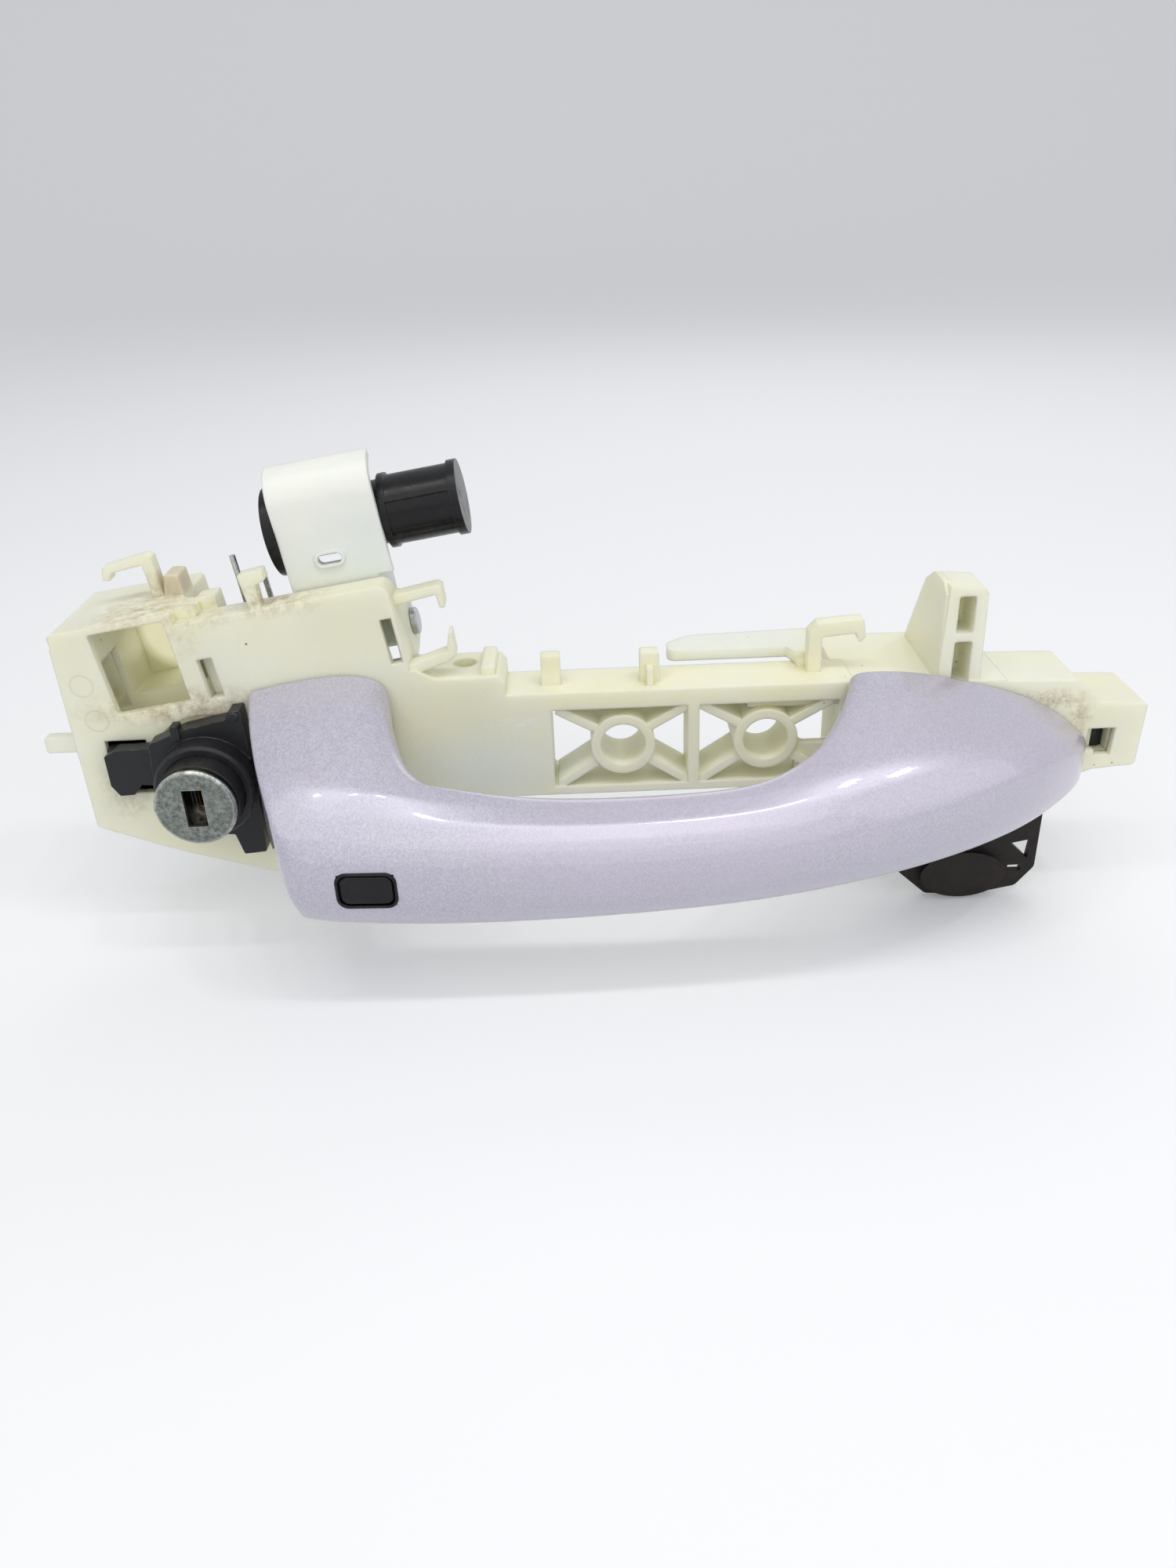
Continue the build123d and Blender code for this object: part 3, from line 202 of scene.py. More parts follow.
def natural_nylon():
    """Unpainted nylon that has yellowed: cream where it is thick, milky where it is thin."""
    look = Finish("natural nylon", (0.79, 0.78, 0.60), 0.42)
    look.round_off(0.8)
    cloudy = look.between(look.noise(22.0, 3.0, 0.5, warp=0.4), 0.35, 0.68)
    colour = look.blend(cloudy, (0.85, 0.83, 0.60), (0.86, 0.855, 0.70))
    milky = look.near((-60, 4, -6), (30, 30, 16), 0.8)
    colour = look.blend(look.maths("MULTIPLY", milky, 0.75), colour, (0.76, 0.82, 0.76))
    # painted reflection: a paler bluish tint on the thin upturned leaf stands in for the sky
    # reflected in it
    leaf_sky_reflection = look.near((14, 24, 20), (30, 14, 5), 0.4)
    colour = look.blend(look.maths("MULTIPLY", leaf_sky_reflection, 0.7), colour, (0.80, 0.83, 0.78))
    tongue = look.near((-176, 5, 5), (9, 8, 6), 0.4)
    colour = look.blend(look.maths("MULTIPLY", tongue, 0.6), colour, (0.82, 0.84, 0.76))
    # scuffed patch on the plate left of the lattice
    scuff_place = look.near((-48, 0, 8), (13, 6, 2.4), 0.6)
    scratches = look.noise(340.0, 6.0, 0.7, vector=look.scaled((1.0, 1.0, 5.0)))
    scuff = look.between(scratches, 0.48, 0.62)
    colour = look.blend(look.maths("MULTIPLY", scuff_place, scuff), colour, (0.88, 0.9, 0.88))
    # dirt round the lock, in the pocket, on the block's top and along the grip's nose
    dirt = look.grease(look.near((-140, 0, 17), (34, 10, 7), 0.7), 240.0)
    for centre, reach in (((-161, 2, -6), (8, 8, 13)), ((-141, 14, 36), (16, 20, 10)),
                          ((-150, 8, 44), (22, 24, 7)), ((-114, 5, 46), (20, 16, 6)),
                          ((99, 0, 8.6), (14, 5, 4)), ((107.5, 0, 3), (5, 5, 7)),
                          ((-132, -2, 44), (14, 16, 6))):
        dirt = look.maths("MAXIMUM", dirt, look.grease(look.near(centre, reach, 0.8), 300.0))
    colour = look.blend(look.maths("MULTIPLY", dirt, 0.72), colour, (0.36, 0.25, 0.15))
    tan = look.near((-142.4, 20, 46.5), (6, 9, 5), 0.35)
    colour = look.blend(look.maths("MULTIPLY", tan, 0.6), colour, (0.52, 0.42, 0.28))
    specks = look.between(look.cells(260.0, "Distance"), 0.05, 0.11, 1.0, 0.0)
    rare = look.between(look.noise(45.0, 2.0), 0.6, 0.7)
    colour = look.blend(look.maths("MULTIPLY", specks, rare), colour, (0.2, 0.15, 0.1))
    # painted shade: the inside of the hole in the top wall is painted near black
    hole_shade = look.near((-63.4, 11.7, 13.0), (3.5, 3.5, 8.8), 0.08)
    colour = look.blend(hole_shade, colour, (0.012, 0.012, 0.012))
    # two faint round marks of the ejector pins on the block's face
    marks = None
    for centre in ((-166.4, 0, 24.0), (-164.6, 0, 13.5)):
        ring = look.maths("SUBTRACT", look.near(centre, (3.5, 30, 3.5), 0.08),
                          look.near(centre, (3.0, 30, 3.0), 0.1))
        marks = ring if marks is None else look.maths("MAXIMUM", marks, ring)
    colour = look.blend(look.maths("MULTIPLY", marks, 0.45), colour, (0.70, 0.66, 0.44))
    look.drive("Base Color", colour)
    grain = look.noise(900.0, 5.0, 0.6)
    waves = look.maths("MULTIPLY", look.noise(120.0, 2.0), 1.6)
    height = look.maths("ADD", look.maths("ADD", grain, waves), look.maths("MULTIPLY", marks, -1.4))
    look.relief(height, 0.00012, 0.55)
    look.drive("Roughness", look.between(look.noise(160.0, 4.0), 0.3, 0.7, 0.36, 0.5))
    look.set("Subsurface Weight", 0.5)
    look.set("Subsurface Radius", (1.0, 0.93, 0.68))
    look.set("Subsurface Scale", 0.006)
    # painted light: the pocket's inside glows as if daylight shone through its thin walls
    pocket_glow = look.maths("MULTIPLY", look.near(POCKET_MIDDLE, POCKET_REACH, 0.3),
                        look.near((0, 0, 0), (1000, POCKET_BACK, 1000), 0.01))
    look.set("Emission Color", (0.86, 0.83, 0.66, 1))
    look.drive("Emission Strength", look.maths("MULTIPLY", pocket_glow, 0.42))
    look.set("Specular IOR Level", 0.45)
    return look.material


def milky_nylon():
    """White nylon of the lever, bluish where the light comes through."""
    look = Finish("milky nylon", (0.8, 0.83, 0.8), 0.34)
    look.round_off(0.7)
    cloudy = look.between(look.noise(38.0, 3.0, 0.5, warp=0.8), 0.34, 0.66)
    colour = look.blend(cloudy, (0.77, 0.815, 0.775), (0.86, 0.87, 0.80))
    foot = look.near((-96, 10, 40), (24, 16, 12), 0.7)
    colour = look.blend(look.maths("MULTIPLY", foot, 0.8), colour, (0.83, 0.83, 0.72))
    dots = look.between(look.cells(420.0, "Distance"), 0.06, 0.1, 1.0, 0.0)
    rare = look.between(look.noise(90.0, 2.0), 0.62, 0.7)
    colour = look.blend(look.maths("MULTIPLY", dots, rare), colour, (0.35, 0.34, 0.3))
    look.drive("Base Color", colour)
    look.relief(look.noise(700.0, 5.0, 0.6), 0.00008, 0.5)
    look.drive("Roughness", look.between(look.noise(140.0, 4.0), 0.3, 0.7, 0.3, 0.42))
    look.set("Subsurface Weight", 0.45)
    look.set("Subsurface Radius", (0.8, 0.95, 1.0))
    look.set("Subsurface Scale", 0.003)
    return look.material


def silver_lilac_paint():
    """Fine metallic paint under clear lacquer, with a few light rub marks."""
    look = Finish("silver lilac paint", (0.5, 0.485, 0.585), 0.36, 0.3)
    flakes = look.between(look.cells(2600.0), 0.2, 0.9)
    colour = look.blend(flakes, (0.435, 0.415, 0.50), (0.555, 0.54, 0.63))
    drift = look.between(look.noise(13.0, 2.0, 0.5), 0.38, 0.64)
    colour = look.blend(look.maths("MULTIPLY", drift, 0.5), colour, (0.555, 0.50, 0.60))
    # painted shade and reflection: the lower front of the grip is painted a darker bluish grey
    lower_face_shade = look.near((60, -30, -24), (90, 30, 16), 0.9)
    colour = look.blend(look.maths("MULTIPLY", lower_face_shade, 0.45), colour, (0.46, 0.48, 0.56))
    rubs = None
    for centre, reach in (((-104, -20, 10), (16, 18, 4)), ((74, -24, 8), (24, 20, 5)),
                          ((28, -44, -22), (20, 20, 4))):
        patch = look.near(centre, reach, 0.8)
        rubs = patch if rubs is None else look.maths("MAXIMUM", rubs, patch)
    along = look.scaled((1.0, 1.0, 6.0))
    streaks = look.between(look.noise(46.0, 6.0, 0.65, vector=along, warp=0.6), 0.52, 0.66)
    rubs = look.maths("MULTIPLY", rubs, streaks)
    colour = look.blend(look.maths("MULTIPLY", rubs, 0.4), colour, (0.60, 0.47, 0.52))
    look.drive("Base Color", colour)
    look.drive("Roughness", look.between(flakes, 0.0, 1.0, 0.3, 0.44))
    look.relief(look.cells(2600.0, "Distance"), 0.00004, 0.35)
    look.set("Coat Weight", 1.0)
    look.set("Coat Roughness", 0.045)
    look.set("Coat IOR", 1.5)
    return look.material


def black_plastic(name, colour, roughness, grain, wear=0.35):
    """Moulded black plastic: fine grain, greyed edges and a little dust."""
    look = Finish(name, colour, roughness)
    look.round_off(0.4)
    dust = look.between(look.noise(150.0, 7.0, 0.7), 0.5, 0.75)
    greyed = tuple(value + 0.014 for value in colour)
    tone = look.blend(look.maths("MULTIPLY", dust, 0.5), colour, greyed)
    edge = look.maths("MULTIPLY", look.worn_edges(), look.between(look.noise(520.0, 4.0), 0.4, 0.6))
    tone = look.blend(look.maths("MULTIPLY", edge, wear), tone, (0.30, 0.30, 0.29))
    look.drive("Base Color", tone)
    look.drive("Roughness", look.between(dust, 0.0, 1.0, roughness - 0.05, roughness + 0.14))
    look.relief(look.noise(grain, 4.0, 0.6), 0.00006, 0.5)
    look.set("Specular IOR Level", 0.28)
    return look.material


def rubber(name, colour):
    """Matt rubber, browned by dust."""
    look = Finish(name, colour, 0.62)
    dust = look.between(look.noise(95.0, 8.0, 0.72), 0.42, 0.7)
    tone = look.blend(look.maths("MULTIPLY", dust, 0.6), colour, (0.048, 0.038, 0.032))
    look.drive("Base Color", tone)
    look.drive("Roughness", look.between(dust, 0.0, 1.0, 0.5, 0.78))
    look.relief(look.noise(620.0, 6.0, 0.65), 0.00014, 0.6)
    look.set("Specular IOR Level", 0.25)
    return look.material


def worn_zinc(name, colour, roughness, rim=None):
    """Die cast zinc, dull and speckled.
    rim (x, z, start, end) is a face's axis and the two radii between which keys polish its edge."""
    look = Finish(name, colour, roughness, 0.85)
    speckles = look.between(look.noise(900.0, 6.0, 0.7), 0.38, 0.62)
    darker = tuple(value * 0.55 for value in colour)
    brighter = tuple(min(1.0, value * 1.35) for value in colour)
    tone = look.blend(speckles, darker, brighter)
    stain = look.between(look.noise(170.0, 5.0, 0.6), 0.45, 0.7)
    tone = look.blend(look.maths("MULTIPLY", stain, 0.55), tone, (0.17, 0.185, 0.165))
    shine = look.between(speckles, 0.0, 1.0, roughness + 0.12, roughness - 0.06)
    if rim:
        x, z, start, end = rim
        face = look.near((x, 0, z), (end, 1000, end), 1.0 - start / end)
        ring = look.maths("SUBTRACT", 1.0, face)
        scratched = look.between(look.noise(420.0, 5.0, 0.7), 0.35, 0.6)
        ring = look.maths("MULTIPLY", ring, scratched)
        tone = look.blend(ring, tone, (0.74, 0.74, 0.71))
        shine = look.maths("SUBTRACT", shine, look.maths("MULTIPLY", ring, 0.15))
        # painted shade: the plug's side behind its face is painted near black, as the dark gap
        # round it
        skirt_shade = look.near((x, -10.0, z), (1000, 10.5, 1000), 0.04)
        tone = look.blend(skirt_shade, tone, (0.02, 0.02, 0.021))
        slot_floor = look.near((x, -16.0, z - 4.6), (3.6, 5.0, 3.2), 0.4)
        tone = look.blend(look.maths("MULTIPLY", slot_floor, scratched), tone, (0.62, 0.58, 0.5))
    tone = look.blend(look.maths("MULTIPLY", look.worn_edges(0.35), 0.7), tone, (0.72, 0.72, 0.70))
    look.drive("Base Color", tone)
    look.drive("Roughness", shine)
    look.relief(look.noise(1300.0, 5.0, 0.65), 0.00008, 0.6)
    return look.material


def bright_metal(name, colour, roughness, stretch=(1.0, 1.0, 1.0)):
    """Plated or drawn metal with fine marks along its length."""
    look = Finish(name, colour, roughness, 1.0)
    marks = look.noise(900.0, 5.0, 0.65, vector=look.scaled(stretch))
    dull = look.between(look.noise(120.0, 4.0), 0.42, 0.68)
    darker, darkest = (tuple(value * share for value in colour) for share in (0.72, 0.6))
    tone = look.blend(look.between(marks, 0.3, 0.7), darker, colour)
    tone = look.blend(look.maths("MULTIPLY", dull, 0.4), tone, darkest)
    look.drive("Base Color", tone)
    look.drive("Roughness", look.between(marks, 0.3, 0.7, roughness - 0.06, roughness + 0.1))
    look.relief(marks, 0.00003, 0.4)
    return look.material


def circuit_board():
    look = Finish("circuit board", (0.03, 0.16, 0.07), 0.4)
    tracks = look.between(look.cells(520.0, "Distance", "DISTANCE_TO_EDGE"), 0.02, 0.06, 1.0, 0.0)
    look.drive("Base Color", look.blend(tracks, (0.02, 0.13, 0.05), (0.06, 0.26, 0.11)))
    look.relief(tracks, 0.00003, 0.6)
    look.set("Coat Weight", 0.5)
    look.set("Coat Roughness", 0.2)
    return look.material


def wound_wire():
    """Enamelled copper wire wound side by side along X."""
    look = Finish("copper winding", (0.7, 0.3, 0.12), 0.3, 0.9)
    wave = look.add("ShaderNodeTexWave", bands_direction="X")
    look.feed(wave, 0, look.place)
    wave.inputs["Scale"].default_value = 900.0
    turns = wave.outputs["Fac"]
    look.drive("Base Color", look.blend(turns, (0.22, 0.07, 0.03), (0.80, 0.38, 0.16)))
    look.relief(turns, 0.00012, 0.9)
    return look.material


def ferrite():
    look = Finish("ferrite", (0.05, 0.05, 0.055), 0.5)
    grit = look.noise(1500.0, 6.0, 0.7)
    tone = look.blend(look.between(grit, 0.3, 0.7), (0.03, 0.03, 0.033), (0.085, 0.085, 0.09))
    look.drive("Base Color", tone)
    look.relief(grit, 0.00008, 0.6)
    return look.material


# ---------------------------------------------------------------- making pieces
def piece_from(bm, name, body, material, sharp=None):
    """Turn a bmesh into a finished piece that rides on a body."""
    mesh = bpy.data.meshes.new(name)
    bm.to_mesh(mesh)
    bm.free()
    piece = bpy.data.objects.new(name, mesh)
    bpy.context.scene.collection.objects.link(piece)
    mesh.shade_smooth()
    if sharp:
        mesh.set_sharp_from_angle(angle=radians(sharp))
    mesh.materials.append(material)
    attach(piece, body)
    return piece


LEAST_TURN = radians(34)        # edges that turn by less than this aren't rounded


def softened(node_name, body, width, material, segments=2):
    """A copy of a node whose edges are rounded off."""
    bm = bmesh.new()
    bm.from_mesh(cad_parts[node_name].data)
    bmesh.ops.remove_doubles(bm, verts=bm.verts, dist=4e-6)
    bmesh.ops.dissolve_limit(bm, angle_limit=radians(1.0), verts=bm.verts, edges=bm.edges)
    bmesh.ops.dissolve_degenerate(bm, dist=2e-5, edges=bm.edges)
    piece = piece_from(bm, node_name + "_moulded", body, material)
    rounding = piece.modifiers.new("rounded edges", "BEVEL")
    rounding.width = width * MM
    rounding.segments = segments
    rounding.limit_method = "ANGLE"
    rounding.angle_limit = LEAST_TURN
    rounding.use_clamp_overlap = True
    rounding.miter_outer = "MITER_ARC"
    weighting = piece.modifiers.new("even shading", "WEIGHTED_NORMAL")
    weighting.keep_sharp = True
    weighting.weight = 80
    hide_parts(node_name)
    return piece


def baked(piece):
    """Apply a piece's modifiers to its mesh."""
    depsgraph = bpy.context.evaluated_depsgraph_get()
    mesh = bpy.data.meshes.new_from_object(piece.evaluated_get(depsgraph))
    piece.modifiers.clear()
    piece.data = mesh
    return piece


# the mechanism end is turned about Y
TILT = radians(8.5)
ALONG = Vector((cos(TILT), 0, sin(TILT)))
UPWARD = Vector((-sin(TILT), 0, cos(TILT)))


def tilted(station, depth, height):
    return (ALONG * station + UPWARD * height + Vector((0, depth, 0))) * MM


def wire(name, body, points, radius, material):
    """A round wire along points, as a closed mesh."""
    curve = bpy.data.curves.new(name, "CURVE")
    curve.dimensions = "3D"
    curve.bevel_depth = radius * MM
    curve.bevel_resolution = 4
    curve.use_fill_caps = True
    spline = curve.splines.new("NURBS")
    spline.points.add(len(points) - 1)
    for point, place in zip(spline.points, points):
        point.co = (*place, 1.0)
    spline.order_u = 3
    spline.use_endpoint_u = True
    spline.resolution_u = 3
    holder = bpy.data.objects.new(name, curve)
    bpy.context.scene.collection.objects.link(holder)
    depsgraph = bpy.context.evaluated_depsgraph_get()
    mesh = bpy.data.meshes.new_from_object(holder.evaluated_get(depsgraph))
    bpy.data.objects.remove(holder)
    bm = bmesh.new()
    bm.from_mesh(mesh)
    bmesh.ops.remove_doubles(bm, verts=bm.verts, dist=1e-6)
    bmesh.ops.recalc_face_normals(bm, faces=bm.faces)
    return piece_from(bm, name, body, material, sharp=50)


# ---------------------------------------------------------------- grip
GRIP_BACK = -1.0
# station x, height of the top at the back, ridge, outermost depth, lowest point
STATIONS = ((-140.0, 17.0, -5.2, -39.0, -24.6), (-126.0, 20.0, -3.5, -42.0, -26.5),
            (-105.0, 24.0, -1.0, -46.0, -29.0), (-88.0, 24.0, -1.0, -47.2, -30.3),
            (-70.0, 17.0, -2.0, -47.8, -31.0), (-45.0, 9.0, -3.2, -47.8, -31.0),
            (-15.0, 8.0, -3.6, -47.0, -30.2), (12.0, 11.0, -2.6, -45.8, -28.6),
            (35.0, 18.5, -0.4, -43.6, -26.2), (55.0, 19.5, 1.6, -39.4, -24.0),
            (75.0, 15.6, 3.0, -32.4, -21.6), (92.0, 10.2, 2.2, -22.6, -19.0),
            (103.0, 3.6, -1.4, -12.6, -16.6), (109.6, -2.6, -5.2, -5.6, -14.8),
            (113.0, -6.0, -7.6, -3.0, -14.0))


def station_at(x):
    """Back top, ridge, outermost depth and lowest point of the grip at x, smoothly."""
    count = len(STATIONS)
    index = max(i for i in range(count - 1) if STATIONS[i][0] <= x or i == 0)
    before, start, end, after = (STATIONS[max(0, min(count - 1, index + k))] for k in (-1, 0, 1, 2))
    span = end[0] - start[0]
    t = (x - start[0]) / span
    values = []
    for k in range(1, 5):
        slope_in = (end[k] - before[k]) / (end[0] - before[0]) * span
        slope_out = (after[k] - start[k]) / (after[0] - start[0]) * span
        values.append((2 * t**3 - 3 * t**2 + 1) * start[k] + (t**3 - 2 * t**2 + t) * slope_in
                      + (3 * t**2 - 2 * t**3) * end[k] + (t**3 - t**2) * slope_out)
    return values


def outline_at(x):
    """Upper and lower outline of the section at x, back to front: (share of the reach, height)."""
    back_top, ridge, out, low = station_at(x)
    height = ridge - low
    drop = back_top - ridge
    upper = ((0.0, back_top), (0.18, back_top - 0.13 * drop), (0.36, back_top - 0.30 * drop),
             (0.56, back_top - 0.50 * drop), (0.74, ridge + 0.32 * drop),
             (0.85, ridge + 0.13 * drop), (0.93, ridge - 0.06 * height),
             (0.98, ridge - 0.19 * height), (1.0, ridge - 0.36 * height))
    lower = ((0.0, low + 3.0), (0.30, low + 1.0), (0.60, low), (0.76, low + 0.015 * height),
             (0.88, low + 0.06 * height), (0.95, low + 0.16 * height),
             (0.98, ridge - 0.70 * height), (1.0, ridge - 0.52 * height),
             (1.0, ridge - 0.36 * height))
    return upper, lower


def height_on(outline, share):
    for (a, za), (b, zb) in zip(outline, outline[1:]):
        if share <= b and b > a:
            return za + (zb - za) * (share - a) / (b - a)
    return outline[-1][1]


def share_at(x, y):
    return min(1.0, max(0.0, (y - GRIP_BACK) / (station_at(x)[2] - GRIP_BACK)))


def plan_point(inner, outer, along):
    return inner[0] + (outer[0] - inner[0]) * along, inner[1] + (outer[1] - inner[1]) * along


def where_share(inner, outer, share):
    """How far along the plan line the section share is reached."""
    low, high = 0.0, 1.0
    for _ in range(30):
        middle = (low + high) / 2
        if share_at(*plan_point(inner, outer, middle)) < share:
            low = middle
        else:
            high = middle
    return (low + high) / 2


TOP_STEPS = 11
FRONT_STEPS = 8
WALL_STEPS = 5


def ring_points(inner, outer, corner, edge):
    """One closed section of the bar, from the inner wall's top round the front and back.
    corner is how far the inner corners are rounded, edge how far the outer ones are
    where the section ends in a flat face."""
    full = share_at(*outer) > 0.955
    length = (Vector(outer) - Vector(inner)).length

    def spread(end, last):
        first = corner / (length * end)
        inside = [first + (1 - first - last) * k / (TOP_STEPS - 2) for k in range(TOP_STEPS - 1)]
        return [0.0, *inside, 1.0]

    points = []
    shoulder_up = where_share(inner, outer, 0.93) if full else 1.0
    shoulder_low = where_share(inner, outer, 0.88) if full else 1.0
    last = 1.0 / TOP_STEPS * 0.8 if full else edge / length
    for t in spread(shoulder_up, last):
        x, y = plan_point(inner, outer, t * shoulder_up)
        points.append((x, y, height_on(outline_at(x)[0], share_at(x, y))))
    if full:
        upper, lower = outline_at(outer[0])
        widest, turn, above_turn = upper[-1][1], lower[-3][1], lower[-2][1]
        face = [(0.965, height_on(upper, 0.965)), (0.99, height_on(upper, 0.988)), (1.0, widest),
                (1.0, widest - 0.3 * (widest - turn)), (0.995, (turn + above_turn) / 2),
                (0.978, height_on(lower, 0.977)), (0.94, height_on(lower, 0.94))]
        for share, z in face:
            x, y = plan_point(inner, outer, where_share(inner, outer, share) if share < 1 else 1.0)
            points.append((x, y, z))
    else:
        top = points[-1][2]
        bottom = height_on(outline_at(outer[0])[1], share_at(*outer))
        for k in range(FRONT_STEPS - 1):
            first = min(0.3, edge / (top - bottom))
            t = first + (1 - 2 * first) * k / (FRONT_STEPS - 2)
            points.append((*outer, top + (bottom - top) * t))
    for t in reversed(spread(shoulder_low, last)):
        x, y = plan_point(inner, outer, t * shoulder_low)
        points.append((x, y, height_on(outline_at(x)[1], share_at(x, y))))
    top, bottom = points[0][2], points[-1][2]
    for k in range(WALL_STEPS - 1):
        first = corner / (top - bottom)
        t = first + (1 - 2 * first) * k / (WALL_STEPS - 2)
        points.append((*inner, bottom + (top - bottom) * t))
    return [Vector(point) * MM for point in points]


def front_edge(x):
    return x, station_at(x)[2]


# plan lines across the bar, from the finger side to the outside, rear foot to front foot
BAR_LINES = (((-83.3, -1.0), (-121.3, -1.0)), ((-83.2, -2.0), (-121.2, -2.2)),
             ((-82.6, -7.0), (-120.5, -8.5)), ((-80.9, -14.0), (-118.6, -16.5)),
             ((-78.4, -21.0), (-116.1, -25.0)), ((-75.6, -25.6), (-113.5, -31.6)),
             ((-73.0, -28.0), (-111.2, -37.6)), ((-71.0, -29.2), (-109.4, -42.0)),
             ((-69.6, -29.8), (-108.5, -44.0)), ((-68.4, -30.1), front_edge(-107.2)),
             ((-67.0, -30.2), front_edge(-104.4)), ((-64.0, -30.2), front_edge(-97.0)),
             ((-59.0, -30.2), front_edge(-84.0)), ((-51.0, -30.2), front_edge(-66.0)),
             ((-40.0, -30.2), front_edge(-46.0)), ((-28.0, -30.2), front_edge(-28.0)),
             ((-14.0, -30.2), front_edge(-12.0)), ((0.0, -30.2), front_edge(4.0)),
             ((10.0, -30.1), front_edge(18.0)), ((18.0, -28.8), front_edge(31.0)),
             ((25.0, -25.6), front_edge(45.0)), ((30.4, -21.6), front_edge(58.0)),
             ((34.4, -16.4), front_edge(70.0)), ((37.4, -11.4), front_edge(82.0)),
             ((39.4, -7.4), front_edge(92.0)), ((40.6, -4.4), front_edge(100.0)),
             ((41.2, -2.6), front_edge(106.0)), ((41.5, -1.6), (109.4, -4.2)),
             ((41.7, -1.0), (109.9, -1.0)))


STRAP_CORNER = 5.0
END_EDGE = 1.6


def bar_sections(inset=0.0, end_lift=0.0):
    """All sections of the bar; inset draws each one in evenly."""
    sections = []
    for index, (inner, outer) in enumerate(BAR_LINES):
        # rounder corners on the rear foot, a little rounder on the front foot
        rear = 1.0 if index < 6 else 0.0 if index > 9 else (10 - index) / 5
        fore = min(1.0, max(0, index - 19) / 4)
        points = ring_points(inner, outer, STRAP_CORNER + 4.0 * rear + 2.0 * fore, END_EDGE)
        if inset:
            middle = sum(points, Vector()) / len(points)
            points = [p + (middle - p).normalized() * min(inset * MM, (middle - p).length * 0.6)
                      for p in points]
        sections.append(points)
    if end_lift:
        for section in (sections[0], sections[-1]):
            for point in section:
                point.y -= end_lift * MM
    return sections


def bar_mesh(sections):
    """Bridge the sections of the bar into one open tube."""
    bm = bmesh.new()
    loops = []
    for points in sections:
        made = bmesh.ops.create_circle(bm, segments=len(points), radius=MM)
        for vertex, point in zip(made["verts"], points):
            vertex.co = point
        loops.append([edge for edge in bm.edges if all(v in made["verts"] for v in edge.verts)])
    for first, second in zip(loops, loops[1:]):
        bmesh.ops.bridge_loops(bm, edges=first + second)
    bmesh.ops.recalc_face_normals(bm, faces=bm.faces)
    return bm


BUTTON = Vector((-87.0, 0, -14.8)) * MM
BUTTON_HALF = (7.3 * MM, 4.6 * MM)
BUTTON_LEAN = 0.045
WELL_FLOOR = -44.5 * MM

# plane that cuts back the bottom corner of the rear end
CORNER = Vector((-116.1, -24.0, -15.0)) * MM
CORNER_ACROSS = Vector((144, 50, 53)).normalized()
CORNER_SOFT = 1.4 * MM


def trim_corner(bm, inset=0.0):
    """Press the bottom corner of the rear end back to its plane, with a soft edge."""
    for vertex in bm.verts:
        depth = (vertex.co - CORNER).dot(CORNER_ACROSS) - inset * MM
        kept = (depth + (depth * depth + CORNER_SOFT ** 2) ** 0.5) / 2
        if depth < 6 * MM:
            vertex.co += CORNER_ACROSS * (kept - depth)


def cut_button_well(bm):
    """Open a rectangular well in the front face for the button, its rim under the bezel."""
    def front_faces(margin):
        return [face for face in bm.faces if face.calc_center_median().y < -0.030
                and abs(face.calc_center_median().x - BUTTON.x) < BUTTON_HALF[0] + margin
                and abs(face.calc_center_median().z - BUTTON.z) < BUTTON_HALF[1] + margin]
    for axis, half in ((0, BUTTON_HALF[0]), (2, BUTTON_HALF[1])):
        for sign in (-1, 1):
            faces = front_faces(0.006)
            normal = Vector((0, 0, 0))
            normal[axis] = sign
            edges = {edge for face in faces for edge in face.edges}
            corners = {vertex for face in faces for vertex in face.verts}
            geometry = [*faces, *edges, *corners]
            bmesh.ops.bisect_plane(bm, geom=geometry, plane_co=BUTTON + normal * half,
                                   plane_no=normal)
    inside = front_faces(-1e-6)
    made = bmesh.ops.extrude_face_region(bm, geom=inside)
    bmesh.ops.delete(bm, geom=inside, context="FACES")
    floor = [item for item in made["geom"] if isinstance(item, bmesh.types.BMVert)]
    for vertex in floor:
        vertex.co.y = WELL_FLOOR


SKIN_WALL = 1.6 * MM
CORE_INSET = 2.4
CORE_RIM = 1.6 * MM
CORE_SEAT_DEPTH = 3.5 * MM


def make_grip(paint, dark):
    bm = bar_mesh(bar_sections())
    skin = piece_from(bm, "grip_skin", "grip", paint)
    fine = skin.modifiers.new("smooth form", "SUBSURF")
    fine.levels = fine.render_levels = 2
    baked(skin)
    bm = bmesh.new()
    bm.from_mesh(skin.data)
    trim_corner(bm)
    cut_button_well(bm)
    bm.to_mesh(skin.data)
    bm.free()
    skin.data.shade_smooth()
    skin.data.set_sharp_from_angle(angle=radians(40))
    wall = skin.modifiers.new("wall", "SOLIDIFY")
    wall.thickness = SKIN_WALL
    wall.offset = -1.0
    wall.use_even_offset = False
    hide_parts("grip_outer")
    # the inner half: a closed bar inside the skin with shallow seats for the arms in its feet
    bm = bar_mesh(bar_sections(inset=CORE_INSET, end_lift=0.3))
    trim_corner(bm, CORE_INSET)
    ends = [edge for edge in bm.edges if edge.is_boundary]
    made = bmesh.ops.edgeloop_fill(bm, edges=ends)
    bmesh.ops.inset_region(bm, faces=made["faces"], thickness=CORE_RIM, use_even_offset=True)
    caps = [face for face in made["faces"] if face.is_valid]
    deep = bmesh.ops.extrude_face_region(bm, geom=caps)
    bmesh.ops.delete(bm, geom=caps, context="FACES")
    floor = [item for item in deep["geom"] if isinstance(item, bmesh.types.BMVert)]
    bmesh.ops.translate(bm, verts=floor, vec=(0, -CORE_SEAT_DEPTH, 0))
    bmesh.ops.recalc_face_normals(bm, faces=bm.faces)
    core = piece_from(bm, "grip_core", "grip", dark, sharp=30)
    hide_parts("grip_inner")
    return skin, core


